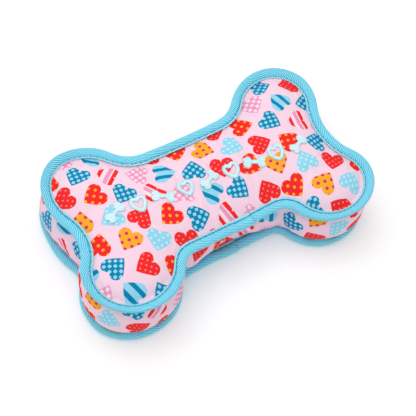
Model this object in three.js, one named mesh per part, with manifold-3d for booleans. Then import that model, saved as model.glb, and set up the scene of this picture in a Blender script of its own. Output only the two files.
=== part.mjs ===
// A bone-shaped stuffed dog toy: printed top and bottom panels, a printed side strip, tape bound
// over both seams, tough inner liners, stuffing, a row of embroidered motifs and a squeaker.
// Millimetres, +Z up. X runs along the bone and Z starts at the face that the toy lies on.
import * as THREE from 'three';
import { mergeVertices } from 'three/addons/utils/BufferGeometryUtils.js';
import Module from 'manifold-3d';

const manifold = await Module();
manifold.setup();

// Outline of the bone, over the outer fold of the tape
const toyLength = 235;
const toyWidth = 143;
const waistWidth = 88;
const lobeRadius = 36;
const endNotchRadius = 32;
const waistFilletRadius = 21;

// Heights
const waistHeight = 38;
const endLift = 5;
const topCrown = 8;
const crownPower = 2.6;
const floorGap = 2;

// Cloth, tape and thread
const clothThickness = 0.5;
const linerThickness = 0.4;
const backingThickness = 0.3;
const tapeThickness = 0.8;
const tapeShownWidth = 9.1;
const tapeFoldInset = 1.2;
const threadWidth = 0.9;
const threadHeight = 0.5;
const stitchRowInset = 1.7;
const clearance = 0.3;
const seamSetback = 1;
const shoulderWidth = 3.5;
const waistSwell = 3.5;
const endSwell = 6.5;
const wallUpright = 2.4;

// Joins of the side strip and of the two tapes, along the front of the waist
const joinGap = 0.4;
const sideJoinX = -2.3;
const topTapeJoinX = 4;
const bottomTapeJoinX = -5;
const tapeLap = 11;
const lapRamp = 5;

// Steps along each part of a quarter of the outline
const notchSteps = 2;
const lobeSteps = 10;
const filletSteps = 2;
const waistSteps = 1;
const quarterSteps = notchSteps + lobeSteps + filletSteps + waistSteps;

// Shares of the way from the shoulder of a panel to its middle line, and of its drop to the floor
const middleLineShare = 0.56;
const towardsWaistShare = 0.85;
const panelShares = [0.22, 0.5, 1];
const backingStartRing = 3;
const bottomShoulderDropShare = 0.7;
const swellFullShare = 0.34;
const lowSwellShare = 0.2;
const highSwellShare = 0.75;

// Embroidered motifs along the middle of the top panel
const motifCount = 9;
const motifRowShare = 0.647;
const motifRowSlope = 0.08;
const motifThickness = 1;
const motifBoneLength = 17;
const motifBoneWidth = 10;
const motifBoneShaft = 3.6;
const motifKnobShare = 0.3;
const motifBoneTilt = THREE.MathUtils.degToRad(28);
const motifHeartWidth = 14;
const motifHeartStroke = 3.2;
const motifHeartTipShare = 0.55;
const motifCurveSteps = 3;
const samePlaceShare = 0.001;

// Squeaker, a blown plastic bulb with a reed pressed into its floor
const squeakerRadius = 22;
const squeakerHeight = 24;
const squeakerWall = 1.2;
const squeakerNeckRadius = 17.5;
const crownRadius = 19;
const crownDomeHeight = 4;
const crownSkirt = 2.4;
const baseRim = 3.6;
const bellowsFolds = 2;

// Reed set in the squeaker's floor
const reedTubeRadius = 5;
const reedTubeBore = 3.4;
const reedTubeHeight = 9;
const reedFlangeRadius = 7.5;
const reedFlangeThickness = 1.4;
const reedWidth = 3.4;
const reedThickness = 0.4;
const reedLength = 7.6;
const reedTipGap = 1.1;
const reedChannelWidth = 1.8;
const reedChannelDepth = 1.2;
const reedClampHeight = 2.2;
const cutOverrun = 1;

// Round solids
const squeakerSegments = 20;
const reedSegments = 14;

// Worked out from the sizes above
const lobeX = toyLength / 2 - lobeRadius;
const lobeY = toyWidth / 2 - lobeRadius;
const waistY = waistWidth / 2;
const notchX = lobeX + Math.sqrt((lobeRadius + endNotchRadius) ** 2 - lobeY ** 2);
const filletY = waistY + waistFilletRadius;
const filletX = lobeX - Math.sqrt((lobeRadius + waistFilletRadius) ** 2 - (filletY - lobeY) ** 2);
const notchAngle = Math.atan2(lobeY, notchX - lobeX);
const filletAngle = Math.atan2(filletY - lobeY, filletX - lobeX);

const halfGap = clearance / 2;
const seamHalf = halfGap + clothThickness + clearance;
const flangeHalf = seamHalf + tapeThickness;
const seamInset = tapeShownWidth + seamSetback;
const shoulderInset = seamInset + shoulderWidth;
const cavityInset = tapeFoldInset / 2 + tapeThickness;
const clothEdgeInset = cavityInset + clearance;
const bottomPlane = flangeHalf + floorGap;
const levelDistance = waistY - seamInset;
const middleLineHalf = middleLineShare * toyLength / 2;
const clothUpper = halfGap + clothThickness;
const linerInset = seamInset + clothThickness + clearance;
const fillInset = linerInset + linerThickness + clearance;
const backingTop = halfGap - clearance;
const linerTop = backingTop - backingThickness - clearance;
const fillTop = linerTop - linerThickness - clearance;
const linerEnd = linerThickness + clearance - linerTop;

const motifPitch = motifRowShare * toyLength / (motifCount - 1);
const middleHeight = bottomPlane + waistHeight / 2;
const squeakerFloor = middleHeight - squeakerHeight / 2;

const printCloth = new THREE.MeshStandardMaterial({ color: 0xfad7e8, roughness: 0.85 });
const tapeCloth = new THREE.MeshStandardMaterial({ color: 0x6ecde6, roughness: 0.8 });
const tapeThread = new THREE.MeshStandardMaterial({ color: 0x8fdcf0, roughness: 0.7 });
const motifThread = new THREE.MeshStandardMaterial({ color: 0xcdf0f8, roughness: 0.5 });
const linerCloth = new THREE.MeshStandardMaterial({ color: 0xe9e6e0, roughness: 0.9 });
const backingCloth = new THREE.MeshStandardMaterial({ color: 0xf7f7f5, roughness: 0.95 });
const fillFibre = new THREE.MeshStandardMaterial({ color: 0xfafafa, roughness: 1 });
const bulbPlastic = new THREE.MeshStandardMaterial({ color: 0xf2f2ee, roughness: 0.45 });
const reedPlastic = new THREE.MeshStandardMaterial({ color: 0xd8dde0, roughness: 0.35 });

// One station on the outer edge: its place and its outward direction
function station(centreX, centreY, radius, angle, hollow) {
  const side = hollow ? -1 : 1;
  return {
    x: centreX + radius * Math.cos(angle),
    y: centreY + radius * Math.sin(angle),
    outX: side * Math.cos(angle),
    outY: side * Math.sin(angle),
  };
}

// A quarter of the outline, from the middle of an end notch to the middle of the waist
function quarterStations() {
  const list = [];
  for (let i = 0; i < notchSteps; i += 1) {
    const angle = Math.PI - notchAngle * i / notchSteps;
    list.push(station(notchX, 0, endNotchRadius, angle, true));
  }
  for (let i = 0; i <= lobeSteps; i += 1) {
    const angle = THREE.MathUtils.lerp(-notchAngle, filletAngle, i / lobeSteps);
    list.push(station(lobeX, lobeY, lobeRadius, angle, false));
  }
  for (let i = 1; i <= filletSteps; i += 1) {
    const angle = THREE.MathUtils.lerp(filletAngle - Math.PI, -Math.PI / 2, i / filletSteps);
    list.push(station(filletX, filletY, waistFilletRadius, angle, true));
  }
  for (let i = 1; i <= waistSteps; i += 1) {
    const x = filletX * (1 - i / waistSteps);
    list.push({ x, y: waistY, outX: 0, outY: 1 });
  }
  return list.map((item) => ({ ...item, middleX: Math.min(middleLineHalf, towardsWaistShare * item.x) }));
}

function mirrored(item, sideX, sideY) {
  return {
    x: sideX * item.x,
    y: sideY * item.y,
    outX: sideX * item.outX,
    outY: sideY * item.outY,
    middleX: sideX * item.middleX,
  };
}

// All stations, anticlockwise from above, starting at the end notch on +X
function allStations() {
  const quarter = quarterStations();
  const start = quarter.slice(0, quarterSteps);
  const end = quarter.slice(1).reverse();
  return [
    ...start.map((item) => mirrored(item, 1, 1)),
    ...end.map((item) => mirrored(item, -1, 1)),
    ...start.map((item) => mirrored(item, -1, -1)),
    ...end.map((item) => mirrored(item, 1, -1)),
  ];
}

const stations = allStations();
const frontWaist = 3 * quarterSteps;

function waistStation(x) {
  return { x, y: -waistY, outX: 0, outY: -1, middleX: x, lap: 0 };
}

// Stations of a strip that starts just past joinX at the front of the waist and ends just before it
function stripStations(joinX) {
  const around = [...stations.slice(frontWaist + 1), ...stations.slice(0, frontWaist)];
  return [waistStation(joinX + joinGap / 2), ...around, waistStation(joinX - joinGap / 2)];
}

// Stations of a tape whose end laps over its start; lap is 1 where it rides on top
function tapeStations(joinX) {
  const list = stripStations(joinX).map((item) => ({ ...item, lap: 0 }));
  list.pop();
  const rampEnd = joinX - joinGap;
  return [
    ...list,
    waistStation(rampEnd - lapRamp),
    { ...waistStation(rampEnd), lap: 1 },
    { ...waistStation(joinX + tapeLap), lap: 1 },
  ];
}

// Stations of the closed row of stitches, which climbs over the lap of its tape
function stitchStations(joinX) {
  const lapStart = joinX - joinGap - clearance;
  const lapEnd = joinX + tapeLap + clearance;
  const climb = [
    waistStation(lapStart - lapRamp),
    { ...waistStation(lapStart), lap: 1 },
    { ...waistStation(lapEnd), lap: 1 },
    waistStation(lapEnd + lapRamp),
  ];
  const flat = stations.map((item) => ({ ...item, lap: 0 }));
  return [...flat.slice(0, frontWaist), ...climb, ...flat.slice(frontWaist + 1)];
}

function place(item, inset) {
  return [item.x - inset * item.outX, item.y - inset * item.outY];
}

// Height of the upper seam plane, which rises towards the ends
function topPlane(x) {
  return bottomPlane + waistHeight + endLift * (2 * x / toyLength) ** 2;
}

// Distance from a point inside the bone to the seam line
function seamDistance(x, y) {
  const px = Math.abs(x);
  const py = Math.abs(y);
  const found = [];
  const lobeTurn = Math.atan2(py - lobeY, px - lobeX);
  if (lobeTurn >= -notchAngle && lobeTurn <= filletAngle) {
    found.push(lobeRadius - seamInset - Math.hypot(px - lobeX, py - lobeY));
  }
  if (Math.atan2(py, notchX - px) <= notchAngle) {
    found.push(Math.hypot(px - notchX, py) - endNotchRadius - seamInset);
  }
  const filletTurn = Math.atan2(py - filletY, px - filletX);
  if (px >= filletX && filletTurn <= filletAngle - Math.PI) {
    found.push(Math.hypot(px - filletX, py - filletY) - waistFilletRadius - seamInset);
  }
  if (px <= filletX) {
    found.push(levelDistance - py);
  }
  return Math.max(0, Math.min(...found));
}

// How far the stuffed top panel stands above its seam plane
function crownRise(x, y) {
  const share = Math.min(1, seamDistance(x, y) / levelDistance);
  return topCrown * (1 - (1 - share) ** crownPower);
}

// Where ring k of a panel crosses a station: the seam, the shoulder, then steps to the middle line
function panelPlace(item, k) {
  if (k === 0) {
    return place(item, seamInset);
  }
  const [x, y] = place(item, shoulderInset);
  if (k === 1) {
    return [x, y];
  }
  const share = panelShares[k - 2];
  return [x + share * (item.middleX - x), y * (1 - share)];
}

function topHeight(x, y, offset) {
  return topPlane(x) + crownRise(x, y) + offset;
}

function topRing(k, offset) {
  return stations.map((item) => {
    const [x, y] = panelPlace(item, k);
    return new THREE.Vector3(x, y, topHeight(x, y, offset));
  });
}

// The bottom panel leaves its seam, drops over the shoulder and lies flat on the floor
function bottomRing(k, offset) {
  const drop = [0, bottomShoulderDropShare][k] ?? 1;
  const z = (bottomPlane - clothUpper) * (1 - drop) + offset;
  return stations.map((item) => new THREE.Vector3(...panelPlace(item, k), z));
}

function ringBetween(outer, inner, share) {
  return outer.map((point, i) => point.clone().lerp(inner[i], share));
}

function flatRing(inset, height) {
  return stations.map((item) => {
    const [x, y] = place(item, inset);
    return new THREE.Vector3(x, y, height(x));
  });
}

// The side wall swells least at the middle of the waist and most around the ends
function swellOf(item) {
  const alongShare = 2 * Math.abs(item.x) / toyLength;
  return waistSwell + endSwell * Math.min(1, alongShare / swellFullShare);
}

// A ring on the side wall, which stands upright past a tape and then leans out to its swell.
// A layer further in turns each corner by its own distance from the outer face.
function sideRing(list, inset, upper, swollen) {
  const side = upper ? -1 : 1;
  return list.map((item) => {
    const swell = swellOf(item);
    const high = topPlane(place(item, seamInset)[0]);
    const upright = (upper ? high : bottomPlane) + side * wallUpright;
    const full = THREE.MathUtils.lerp(bottomPlane, high, upper ? highSwellShare : lowSwellShare);
    const rise = Math.abs(full - upright);
    const turn = (Math.hypot(rise, swell) - rise) / swell;
    const [x, y] = place(item, inset - (swollen ? swell : 0));
    const z = (swollen ? full : upright) + side * turn * (inset - seamInset);
    return new THREE.Vector3(x, y, z);
  });
}

// The four rings of a side wall, from its upper end to its lower one
function wallRings(list, inset) {
  return [
    sideRing(list, inset, true, false),
    sideRing(list, inset, true, true),
    sideRing(list, inset, false, true),
    sideRing(list, inset, false, false),
  ];
}

// A closed solid over rings of equal length; each ring closes on itself unless the solid is open.
// Each face of four is split along its shorter diagonal, so that layers of cloth lie parallel.
function loft(rings, open = false) {
  const count = rings[0].length;
  const points = rings.flat();
  const faces = [];
  const quad = (a, b, c, d) => {
    if (points[a].distanceTo(points[c]) < points[b].distanceTo(points[d])) {
      faces.push(a, b, c, a, c, d);
    } else {
      faces.push(a, b, d, b, c, d);
    }
  };
  const spans = open ? count - 1 : count;
  const closes = rings[0] === rings.at(-1);
  const rows = closes ? rings.length - 1 : rings.length;
  const at = (row, i) => (row % rows) * count + (i % count);
  for (let row = 0; row < rings.length - 1; row += 1) {
    for (let i = 0; i < spans; i += 1) {
      quad(at(row, i), at(row + 1, i), at(row + 1, i + 1), at(row, i + 1));
    }
  }
  if (open) {
    for (let row = 0; row < rows / 2 - 1; row += 1) {
      const twin = rows - 1 - row;
      quad(at(row, 0), at(twin, 0), at(twin - 1, 0), at(row + 1, 0));
      quad(at(row, spans), at(row + 1, spans), at(twin - 1, spans), at(twin, spans));
    }
  }
  const geometry = new THREE.BufferGeometry();
  const flat = points.flatMap((point) => [point.x, point.y, point.z]);
  geometry.setAttribute('position', new THREE.Float32BufferAttribute(flat, 3));
  geometry.setIndex(faces);
  return withoutSlivers(mergeVertices(geometry));
}

// Drops the faces whose corners fell together, as on a panel's middle line
function withoutSlivers(geometry) {
  const all = Array.from(geometry.index.array);
  const kept = [];
  for (let i = 0; i < all.length; i += 3) {
    const [a, b, c] = all.slice(i, i + 3);
    if (a !== b && b !== c && c !== a) {
      kept.push(a, b, c);
    }
  }
  geometry.setIndex(kept);
  return geometry;
}

// A geometry with positions only, so that vertices that fall together can merge
function bare(geometry) {
  const copy = geometry.clone();
  copy.deleteAttribute('normal');
  copy.deleteAttribute('uv');
  return copy;
}

function toManifold(geometry) {
  const merged = mergeVertices(bare(geometry));
  const mesh = new manifold.Mesh({
    numProp: 3,
    vertProperties: new Float32Array(merged.attributes.position.array),
    triVerts: new Uint32Array(merged.index.array),
  });
  return new manifold.Manifold(mesh);
}

function fromManifold(solid) {
  const mesh = solid.getMesh();
  const geometry = new THREE.BufferGeometry();
  geometry.setAttribute('position', new THREE.BufferAttribute(mesh.vertProperties, 3));
  geometry.setIndex(new THREE.BufferAttribute(mesh.triVerts, 1));
  return geometry;
}

function cut(geometry, ...tools) {
  const solid = tools.reduce((left, tool) => left.subtract(toManifold(tool)), toManifold(geometry));
  return fromManifold(solid);
}

function lathe(points, segments) {
  const outline = points.map(([x, y]) => new THREE.Vector2(x, y));
  return new THREE.LatheGeometry(outline, segments).rotateX(Math.PI / 2);
}

function cylinder(radius, low, high, segments) {
  const middle = (low + high) / 2;
  const shape = new THREE.CylinderGeometry(radius, radius, high - low, segments);
  return shape.rotateX(Math.PI / 2).translate(0, 0, middle);
}

function block(lowX, highX, width, low, high) {
  const shape = new THREE.BoxGeometry(highX - lowX, width, high - low);
  return shape.translate((lowX + highX) / 2, 0, (low + high) / 2);
}

function topPanel() {
  const outside = [4, 3, 2, 1, 0].map((k) => topRing(k, clothUpper));
  const inside = [0, 1, 2, 3, 4].map((k) => topRing(k, halfGap));
  const edgeHigh = flatRing(clothEdgeInset, (x) => topPlane(x) + clothUpper);
  const edgeLow = flatRing(clothEdgeInset, (x) => topPlane(x) + halfGap);
  return loft([...outside, edgeHigh, edgeLow, ...inside]);
}

function bottomPanel() {
  const inside = [4, 2, 1, 0].map((k) => bottomRing(k, clothThickness));
  const outside = [0, 1, 2, 4].map((k) => bottomRing(k, 0));
  const edgeHigh = flatRing(clothEdgeInset, () => bottomPlane - halfGap);
  const edgeLow = flatRing(clothEdgeInset, () => bottomPlane - clothUpper);
  return loft([...inside, edgeHigh, edgeLow, ...outside]);
}

function topLiner() {
  const rimShare = (linerInset - seamInset) / shoulderWidth;
  const rim = (offset) => ringBetween(topRing(0, offset), topRing(1, offset), rimShare);
  const low = linerTop - linerThickness;
  const outside = [4, 3, 2, 1].map((k) => topRing(k, linerTop));
  const inside = [1, 2, 3, 4].map((k) => topRing(k, low));
  return loft([...outside, rim(linerTop), rim(low), ...inside]);
}

function bottomLiner() {
  const low = clothThickness + clearance;
  const high = low + linerThickness;
  const rimShare = (linerInset - seamInset) / shoulderWidth;
  const rim = (offset) => ringBetween(bottomRing(0, offset), bottomRing(1, offset), rimShare);
  const inside = [4, 2, 1].map((k) => bottomRing(k, high));
  const outside = [1, 2, 4].map((k) => bottomRing(k, low));
  return loft([...inside, rim(high), rim(low), ...outside]);
}

function embroideryBacking() {
  const low = backingTop - backingThickness;
  const rings = [[4, backingTop], [backingStartRing, backingTop], [backingStartRing, low], [4, low]];
  return loft(rings.map(([k, offset]) => topRing(k, offset)));
}

// The printed side strip, with both its edges turned out into the tape
function sideStrip() {
  const list = stripStations(sideJoinX);
  list.splice(sideJoinX < 0 ? 1 : list.length - 1, 0, stations[frontWaist]);
  const at = (inset, height) => list.map((item) => {
    const [x, y] = place(item, inset);
    return new THREE.Vector3(x, y, height(x));
  });
  const upper = (offset) => (x) => topPlane(x) - offset;
  const lower = (offset) => () => bottomPlane + offset;
  const inner = seamInset + clothThickness;
  const rings = [
    at(clothEdgeInset, upper(clothUpper)),
    at(seamInset, upper(clothUpper)),
    ...wallRings(list, seamInset),
    at(seamInset, lower(clothUpper)),
    at(clothEdgeInset, lower(clothUpper)),
    at(clothEdgeInset, lower(halfGap)),
    at(inner, lower(halfGap)),
    ...wallRings(list, inner).reverse(),
    at(inner, upper(halfGap)),
    at(clothEdgeInset, upper(halfGap)),
  ];
  return loft([...rings, rings[0]], true);
}

function sideLiner() {
  const inner = linerInset + linerThickness;
  const upper = (x) => topPlane(x) - linerEnd;
  const lower = () => bottomPlane + linerEnd;
  const rings = [
    flatRing(linerInset, upper),
    ...wallRings(stations, linerInset),
    flatRing(linerInset, lower),
    flatRing(inner, lower),
    ...wallRings(stations, inner).reverse(),
    flatRing(inner, upper),
  ];
  return loft([...rings, rings[0]]);
}

// Tape folded over a seam; where it laps, it stands clear of its own start
function boundTape(joinX, plane) {
  const list = tapeStations(joinX);
  const section = [
    [tapeShownWidth, flangeHalf],
    [tapeFoldInset, flangeHalf],
    [0, 0],
    [tapeFoldInset, -flangeHalf],
    [tapeShownWidth, -flangeHalf],
    [tapeShownWidth, -seamHalf],
    [cavityInset, -seamHalf],
    [tapeThickness, 0],
    [cavityInset, seamHalf],
    [tapeShownWidth, seamHalf],
  ];
  const step = tapeThickness + clearance;
  const rings = section.map(([inset, height]) => list.map((item) => {
    const outward = inset === tapeShownWidth ? 0 : item.lap * step;
    const [x, y] = place(item, inset - outward);
    const lift = Math.sign(height) * item.lap * step;
    return new THREE.Vector3(x, y, plane(x) + height + lift);
  }));
  return loft([...rings, rings[0]], true);
}

// The row of stitches that holds a tape, on its outer face
function stitchRow(joinX, plane, side) {
  const list = stitchStations(joinX);
  const middle = tapeShownWidth - stitchRowInset;
  const low = flangeHalf + clearance;
  const corners = [
    [middle + threadWidth / 2, low],
    [middle + threadWidth / 2, low + threadHeight],
    [middle - threadWidth / 2, low + threadHeight],
    [middle - threadWidth / 2, low],
  ];
  const ordered = side > 0 ? corners : corners.reverse();
  const step = tapeThickness + clearance;
  const rings = ordered.map(([inset, height]) => list.map((item) => {
    const [x, y] = place(item, inset);
    return new THREE.Vector3(x, y, plane(x) + side * (height + item.lap * step));
  }));
  return loft([...rings, rings[0]]);
}

function squeakerPocket() {
  const radius = squeakerRadius + clearance;
  const low = squeakerFloor - reedFlangeThickness - 2 * clearance;
  const high = squeakerFloor + squeakerHeight + clearance;
  return cylinder(radius, low, high, squeakerSegments);
}

// The upper half of the stuffing, hollowed for the squeaker
function upperFill() {
  const rimShare = (fillInset - seamInset) / shoulderWidth;
  const dome = [4, 3, 2, 1].map((k) => topRing(k, fillTop));
  const rim = ringBetween(topRing(0, fillTop), topRing(1, fillTop), rimShare);
  const middle = middleHeight + halfGap;
  const flat = (ring) => ring.map((point) => new THREE.Vector3(point.x, point.y, middle));
  const wall = [
    flatRing(fillInset, (x) => topPlane(x) - linerEnd),
    sideRing(stations, fillInset, true, false),
    sideRing(stations, fillInset, true, true),
    flat(sideRing(stations, fillInset, true, true)),
  ];
  const under = [1, 2, 3, 4].map((k) => flat(topRing(k, 0)));
  return cut(loft([...dome, rim, ...wall, ...under]), squeakerPocket());
}

// The lower half of the stuffing, with the rest of the pocket
function lowerFill() {
  const lift = clothThickness + linerThickness + 2 * clearance;
  const rimShare = (fillInset - seamInset) / shoulderWidth;
  const floor = [1, 2, 4].map((k) => bottomRing(k, lift));
  const rim = ringBetween(bottomRing(0, lift), bottomRing(1, lift), rimShare);
  const middle = middleHeight - halfGap;
  const flat = (ring) => ring.map((point) => new THREE.Vector3(point.x, point.y, middle));
  const wall = [
    flat(sideRing(stations, fillInset, false, true)),
    sideRing(stations, fillInset, false, true),
    sideRing(stations, fillInset, false, false),
    flatRing(fillInset, () => bottomPlane + linerEnd),
  ];
  const over = [4, 3, 2, 1].map((k) => flat(topRing(k, 0)));
  return cut(loft([...over, ...wall, rim, ...floor]), squeakerPocket());
}

function squeakerBase() {
  const hole = reedTubeRadius + clearance;
  const inner = crownRadius - squeakerWall;
  return lathe([
    [hole, 0],
    [crownRadius, 0],
    [squeakerRadius, squeakerWall],
    [squeakerRadius, baseRim],
    [crownRadius, baseRim],
    [crownRadius, squeakerWall * 2],
    [inner, squeakerWall],
    [hole, squeakerWall],
    [hole, 0],
  ], squeakerSegments);
}

// The pleated wall of the bulb, which folds as the crown is pressed
function squeakerBellows() {
  const low = baseRim + clearance;
  const high = squeakerHeight - crownDomeHeight - crownSkirt - clearance;
  const foldHeight = (high - low) / (2 * bellowsFolds);
  const deep = squeakerNeckRadius;
  const wide = squeakerRadius - clearance;
  const outer = [];
  for (let i = 0; i <= 2 * bellowsFolds; i += 1) {
    outer.push([i % 2 === 0 ? wide : deep, low + i * foldHeight]);
  }
  const inner = outer.map(([radius, height]) => [radius - 2 * squeakerWall, height]).reverse();
  return lathe([...outer, ...inner, outer[0]], squeakerSegments);
}

function squeakerCrown() {
  const top = squeakerHeight;
  const shoulder = top - crownDomeHeight;
  const skirt = shoulder - crownSkirt;
  const inner = crownRadius - squeakerWall;
  return lathe([
    [0, top - squeakerWall],
    [crownRadius / 2, top - squeakerWall - crownDomeHeight / 4],
    [inner, shoulder],
    [inner, skirt],
    [squeakerRadius - clearance, skirt],
    [squeakerRadius - clearance, skirt + squeakerWall],
    [crownRadius, shoulder],
    [crownRadius / 2, top - crownDomeHeight / 4],
    [0, top],
  ], squeakerSegments);
}

function reedTube() {
  const low = -clearance - reedFlangeThickness;
  return lathe([
    [reedTubeBore, low],
    [reedFlangeRadius, low],
    [reedFlangeRadius, -clearance],
    [reedTubeRadius, -clearance],
    [reedTubeRadius, reedTubeHeight],
    [reedTubeBore, reedTubeHeight],
    [reedTubeBore, low],
  ], reedSegments);
}

// The half-round seat of the reed: its face falls away to the tip and has an air channel
function reedSeat() {
  const radius = reedTubeBore - clearance;
  const face = -reedThickness / 2 - clearance;
  const body = cylinder(radius, 0, reedTubeHeight, reedSegments);
  const top = reedTubeHeight + cutOverrun;
  const front = block(face, radius + cutOverrun, 2 * radius + cutOverrun, -cutOverrun, top);
  const reach = (top - reedClampHeight) / (clearance + reedLength - reedClampHeight);
  const fall = (reedTipGap - clearance) * reach;
  const relief = new THREE.Shape([
    new THREE.Vector2(face + cutOverrun, reedClampHeight),
    new THREE.Vector2(face + cutOverrun, top),
    new THREE.Vector2(face - fall, top),
    new THREE.Vector2(face, reedClampHeight),
  ]);
  const width = 2 * radius + cutOverrun;
  const slope = new THREE.ExtrudeGeometry(relief, { depth: width, bevelEnabled: false });
  slope.translate(0, 0, -width / 2).rotateX(Math.PI / 2);
  const channelTop = reedClampHeight + reedLength / 2;
  const channel = block(face - reedChannelDepth, face + cutOverrun, reedChannelWidth, -cutOverrun, channelTop);
  return cut(body, front, slope, channel);
}

function reedBlade() {
  return block(-reedThickness / 2, reedThickness / 2, reedWidth, clearance, clearance + reedLength);
}

function reedClamp() {
  const radius = reedTubeBore - clearance;
  const face = reedThickness / 2 + clearance;
  const body = cylinder(radius, clearance, reedClampHeight, reedSegments);
  const back = block(-radius - cutOverrun, face, 2 * radius + cutOverrun, -cutOverrun, reedClampHeight + cutOverrun);
  return cut(body, back);
}

// The outline of a little bone, with four knobs and a straight shaft
function boneOutline() {
  const radius = motifKnobShare * motifBoneWidth;
  const knobX = motifBoneLength / 2 - radius;
  const knobY = motifBoneWidth / 2 - radius;
  const cleft = Math.asin(knobY / radius);
  const shaft = Math.asin((motifBoneShaft / 2 - knobY) / radius);
  const shape = new THREE.Shape();
  shape.absarc(knobX, knobY, radius, -cleft, Math.PI - shaft, false);
  shape.absarc(-knobX, knobY, radius, shaft, Math.PI + cleft, false);
  shape.absarc(-knobX, -knobY, radius, Math.PI - cleft, 2 * Math.PI - shaft, false);
  shape.absarc(knobX, -knobY, radius, Math.PI + shaft, 2 * Math.PI + cleft, false);
  return shape;
}

function heartOutline(width) {
  const radius = width / 4;
  const tip = -motifHeartTipShare * width;
  const shape = new THREE.Shape();
  shape.moveTo(0, tip);
  shape.quadraticCurveTo(width / 2, tip / 3, width / 2, radius);
  shape.absarc(radius, radius, radius, 0, Math.PI, false);
  shape.absarc(-radius, radius, radius, 0, Math.PI, false);
  shape.quadraticCurveTo(-width / 2, tip / 3, 0, tip);
  return shape;
}

// The corners of an outline, without the ones that fall together where two curves meet
function corners(shape) {
  const all = shape.getPoints(motifCurveSteps);
  const tooNear = samePlaceShare * motifBoneLength;
  return all.filter((point, i) => point.distanceTo(all.at(i - 1)) > tooNear);
}

function stitchedShape(index) {
  if (index % 2 === 0) {
    return new THREE.Shape(corners(boneOutline()));
  }
  const shape = new THREE.Shape(corners(heartOutline(motifHeartWidth)));
  const hole = corners(heartOutline(motifHeartWidth - 2 * motifHeartStroke));
  shape.holes.push(new THREE.Path(hole.reverse()));
  return shape;
}

// A motif lies flat on the top panel where its middle is
function motif(index) {
  const geometry = new THREE.ExtrudeGeometry(stitchedShape(index), {
    depth: motifThickness,
    bevelEnabled: false,
    curveSegments: 1,
  });
  const turn = index % 2 === 0 ? motifBoneTilt * (index % 4 === 0 ? 1 : -1) : 0;
  geometry.rotateZ(turn);
  const x = (index - (motifCount - 1) / 2) * motifPitch;
  const y = -x * motifRowSlope;
  const height = (dx, dy) => topHeight(x + dx, y + dy, clothUpper + clearance);
  const reach = motifBoneLength / 4;
  const slopeX = (height(reach, 0) - height(-reach, 0)) / (2 * reach);
  const slopeY = (height(0, reach) - height(0, -reach)) / (2 * reach);
  const mesh = new THREE.Mesh(mergeVertices(bare(geometry)), motifThread);
  mesh.position.set(x, y, height(0, 0));
  const facing = new THREE.Vector3(-slopeX, -slopeY, 1).normalize();
  mesh.quaternion.setFromUnitVectors(new THREE.Vector3(0, 0, 1), facing);
  mesh.name = motifName(index);
  return mesh;
}

function motifName(index) {
  const kind = index % 2 === 0 ? 'bone' : 'heart';
  return `embroidered_${kind}_${Math.floor(index / 2) + 1}`;
}

function piece(name, geometry, material) {
  const mesh = new THREE.Mesh(geometry, material);
  mesh.name = name;
  return mesh;
}

const shell = new THREE.Group();
shell.add(
  piece('top_panel', topPanel(), printCloth),
  piece('bottom_panel', bottomPanel(), printCloth),
  piece('side_strip', sideStrip(), printCloth),
  piece('top_liner', topLiner(), linerCloth),
  piece('bottom_liner', bottomLiner(), linerCloth),
  piece('side_liner', sideLiner(), linerCloth),
  piece('top_tape', boundTape(topTapeJoinX, topPlane), tapeCloth),
  piece('bottom_tape', boundTape(bottomTapeJoinX, () => bottomPlane), tapeCloth),
  piece('top_tape_stitching', stitchRow(topTapeJoinX, topPlane, 1), tapeThread),
  piece('bottom_tape_stitching', stitchRow(bottomTapeJoinX, () => bottomPlane, -1), tapeThread),
);

const embroidery = new THREE.Group();
embroidery.add(piece('embroidery_backing', embroideryBacking(), backingCloth));
for (let index = 0; index < motifCount; index += 1) {
  embroidery.add(motif(index));
}

const stuffing = new THREE.Group();
stuffing.add(
  piece('upper_stuffing', upperFill(), fillFibre),
  piece('lower_stuffing', lowerFill(), fillFibre),
);

const squeaker = new THREE.Group();
squeaker.position.z = squeakerFloor;
squeaker.add(
  piece('squeaker_base', squeakerBase(), bulbPlastic),
  piece('squeaker_bellows', squeakerBellows(), bulbPlastic),
  piece('squeaker_crown', squeakerCrown(), bulbPlastic),
  piece('reed_tube', reedTube(), reedPlastic),
  piece('reed_seat', reedSeat(), reedPlastic),
  piece('reed', reedBlade(), reedPlastic),
  piece('reed_clamp', reedClamp(), reedPlastic),
);

const toy = new THREE.Group();
toy.add(shell, embroidery, stuffing, squeaker);

export default toy;
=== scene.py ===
# A bone-shaped stuffed dog toy: printed cloth over stuffing, tape bound over both seams,
# a row of embroidered motifs on top and a squeaker inside. Metres, +Z up, X along the bone.
import math

import bmesh
import bpy
import numpy as np
from mathutils import Matrix, Vector, noise

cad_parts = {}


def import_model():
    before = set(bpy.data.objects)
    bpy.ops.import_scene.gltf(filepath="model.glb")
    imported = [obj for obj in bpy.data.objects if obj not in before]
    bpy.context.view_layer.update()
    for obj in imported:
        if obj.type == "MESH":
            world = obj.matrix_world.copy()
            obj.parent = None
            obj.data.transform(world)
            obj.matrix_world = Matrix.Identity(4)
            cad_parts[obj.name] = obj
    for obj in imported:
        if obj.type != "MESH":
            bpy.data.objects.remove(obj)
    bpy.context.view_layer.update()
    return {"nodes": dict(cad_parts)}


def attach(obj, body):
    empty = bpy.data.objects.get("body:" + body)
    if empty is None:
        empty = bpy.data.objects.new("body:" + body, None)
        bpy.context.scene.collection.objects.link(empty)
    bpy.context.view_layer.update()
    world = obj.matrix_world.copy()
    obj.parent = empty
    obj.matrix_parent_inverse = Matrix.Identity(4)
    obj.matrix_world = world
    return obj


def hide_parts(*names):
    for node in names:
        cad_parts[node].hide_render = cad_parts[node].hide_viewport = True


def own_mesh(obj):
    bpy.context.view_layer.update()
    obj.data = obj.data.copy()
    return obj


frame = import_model()

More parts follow.
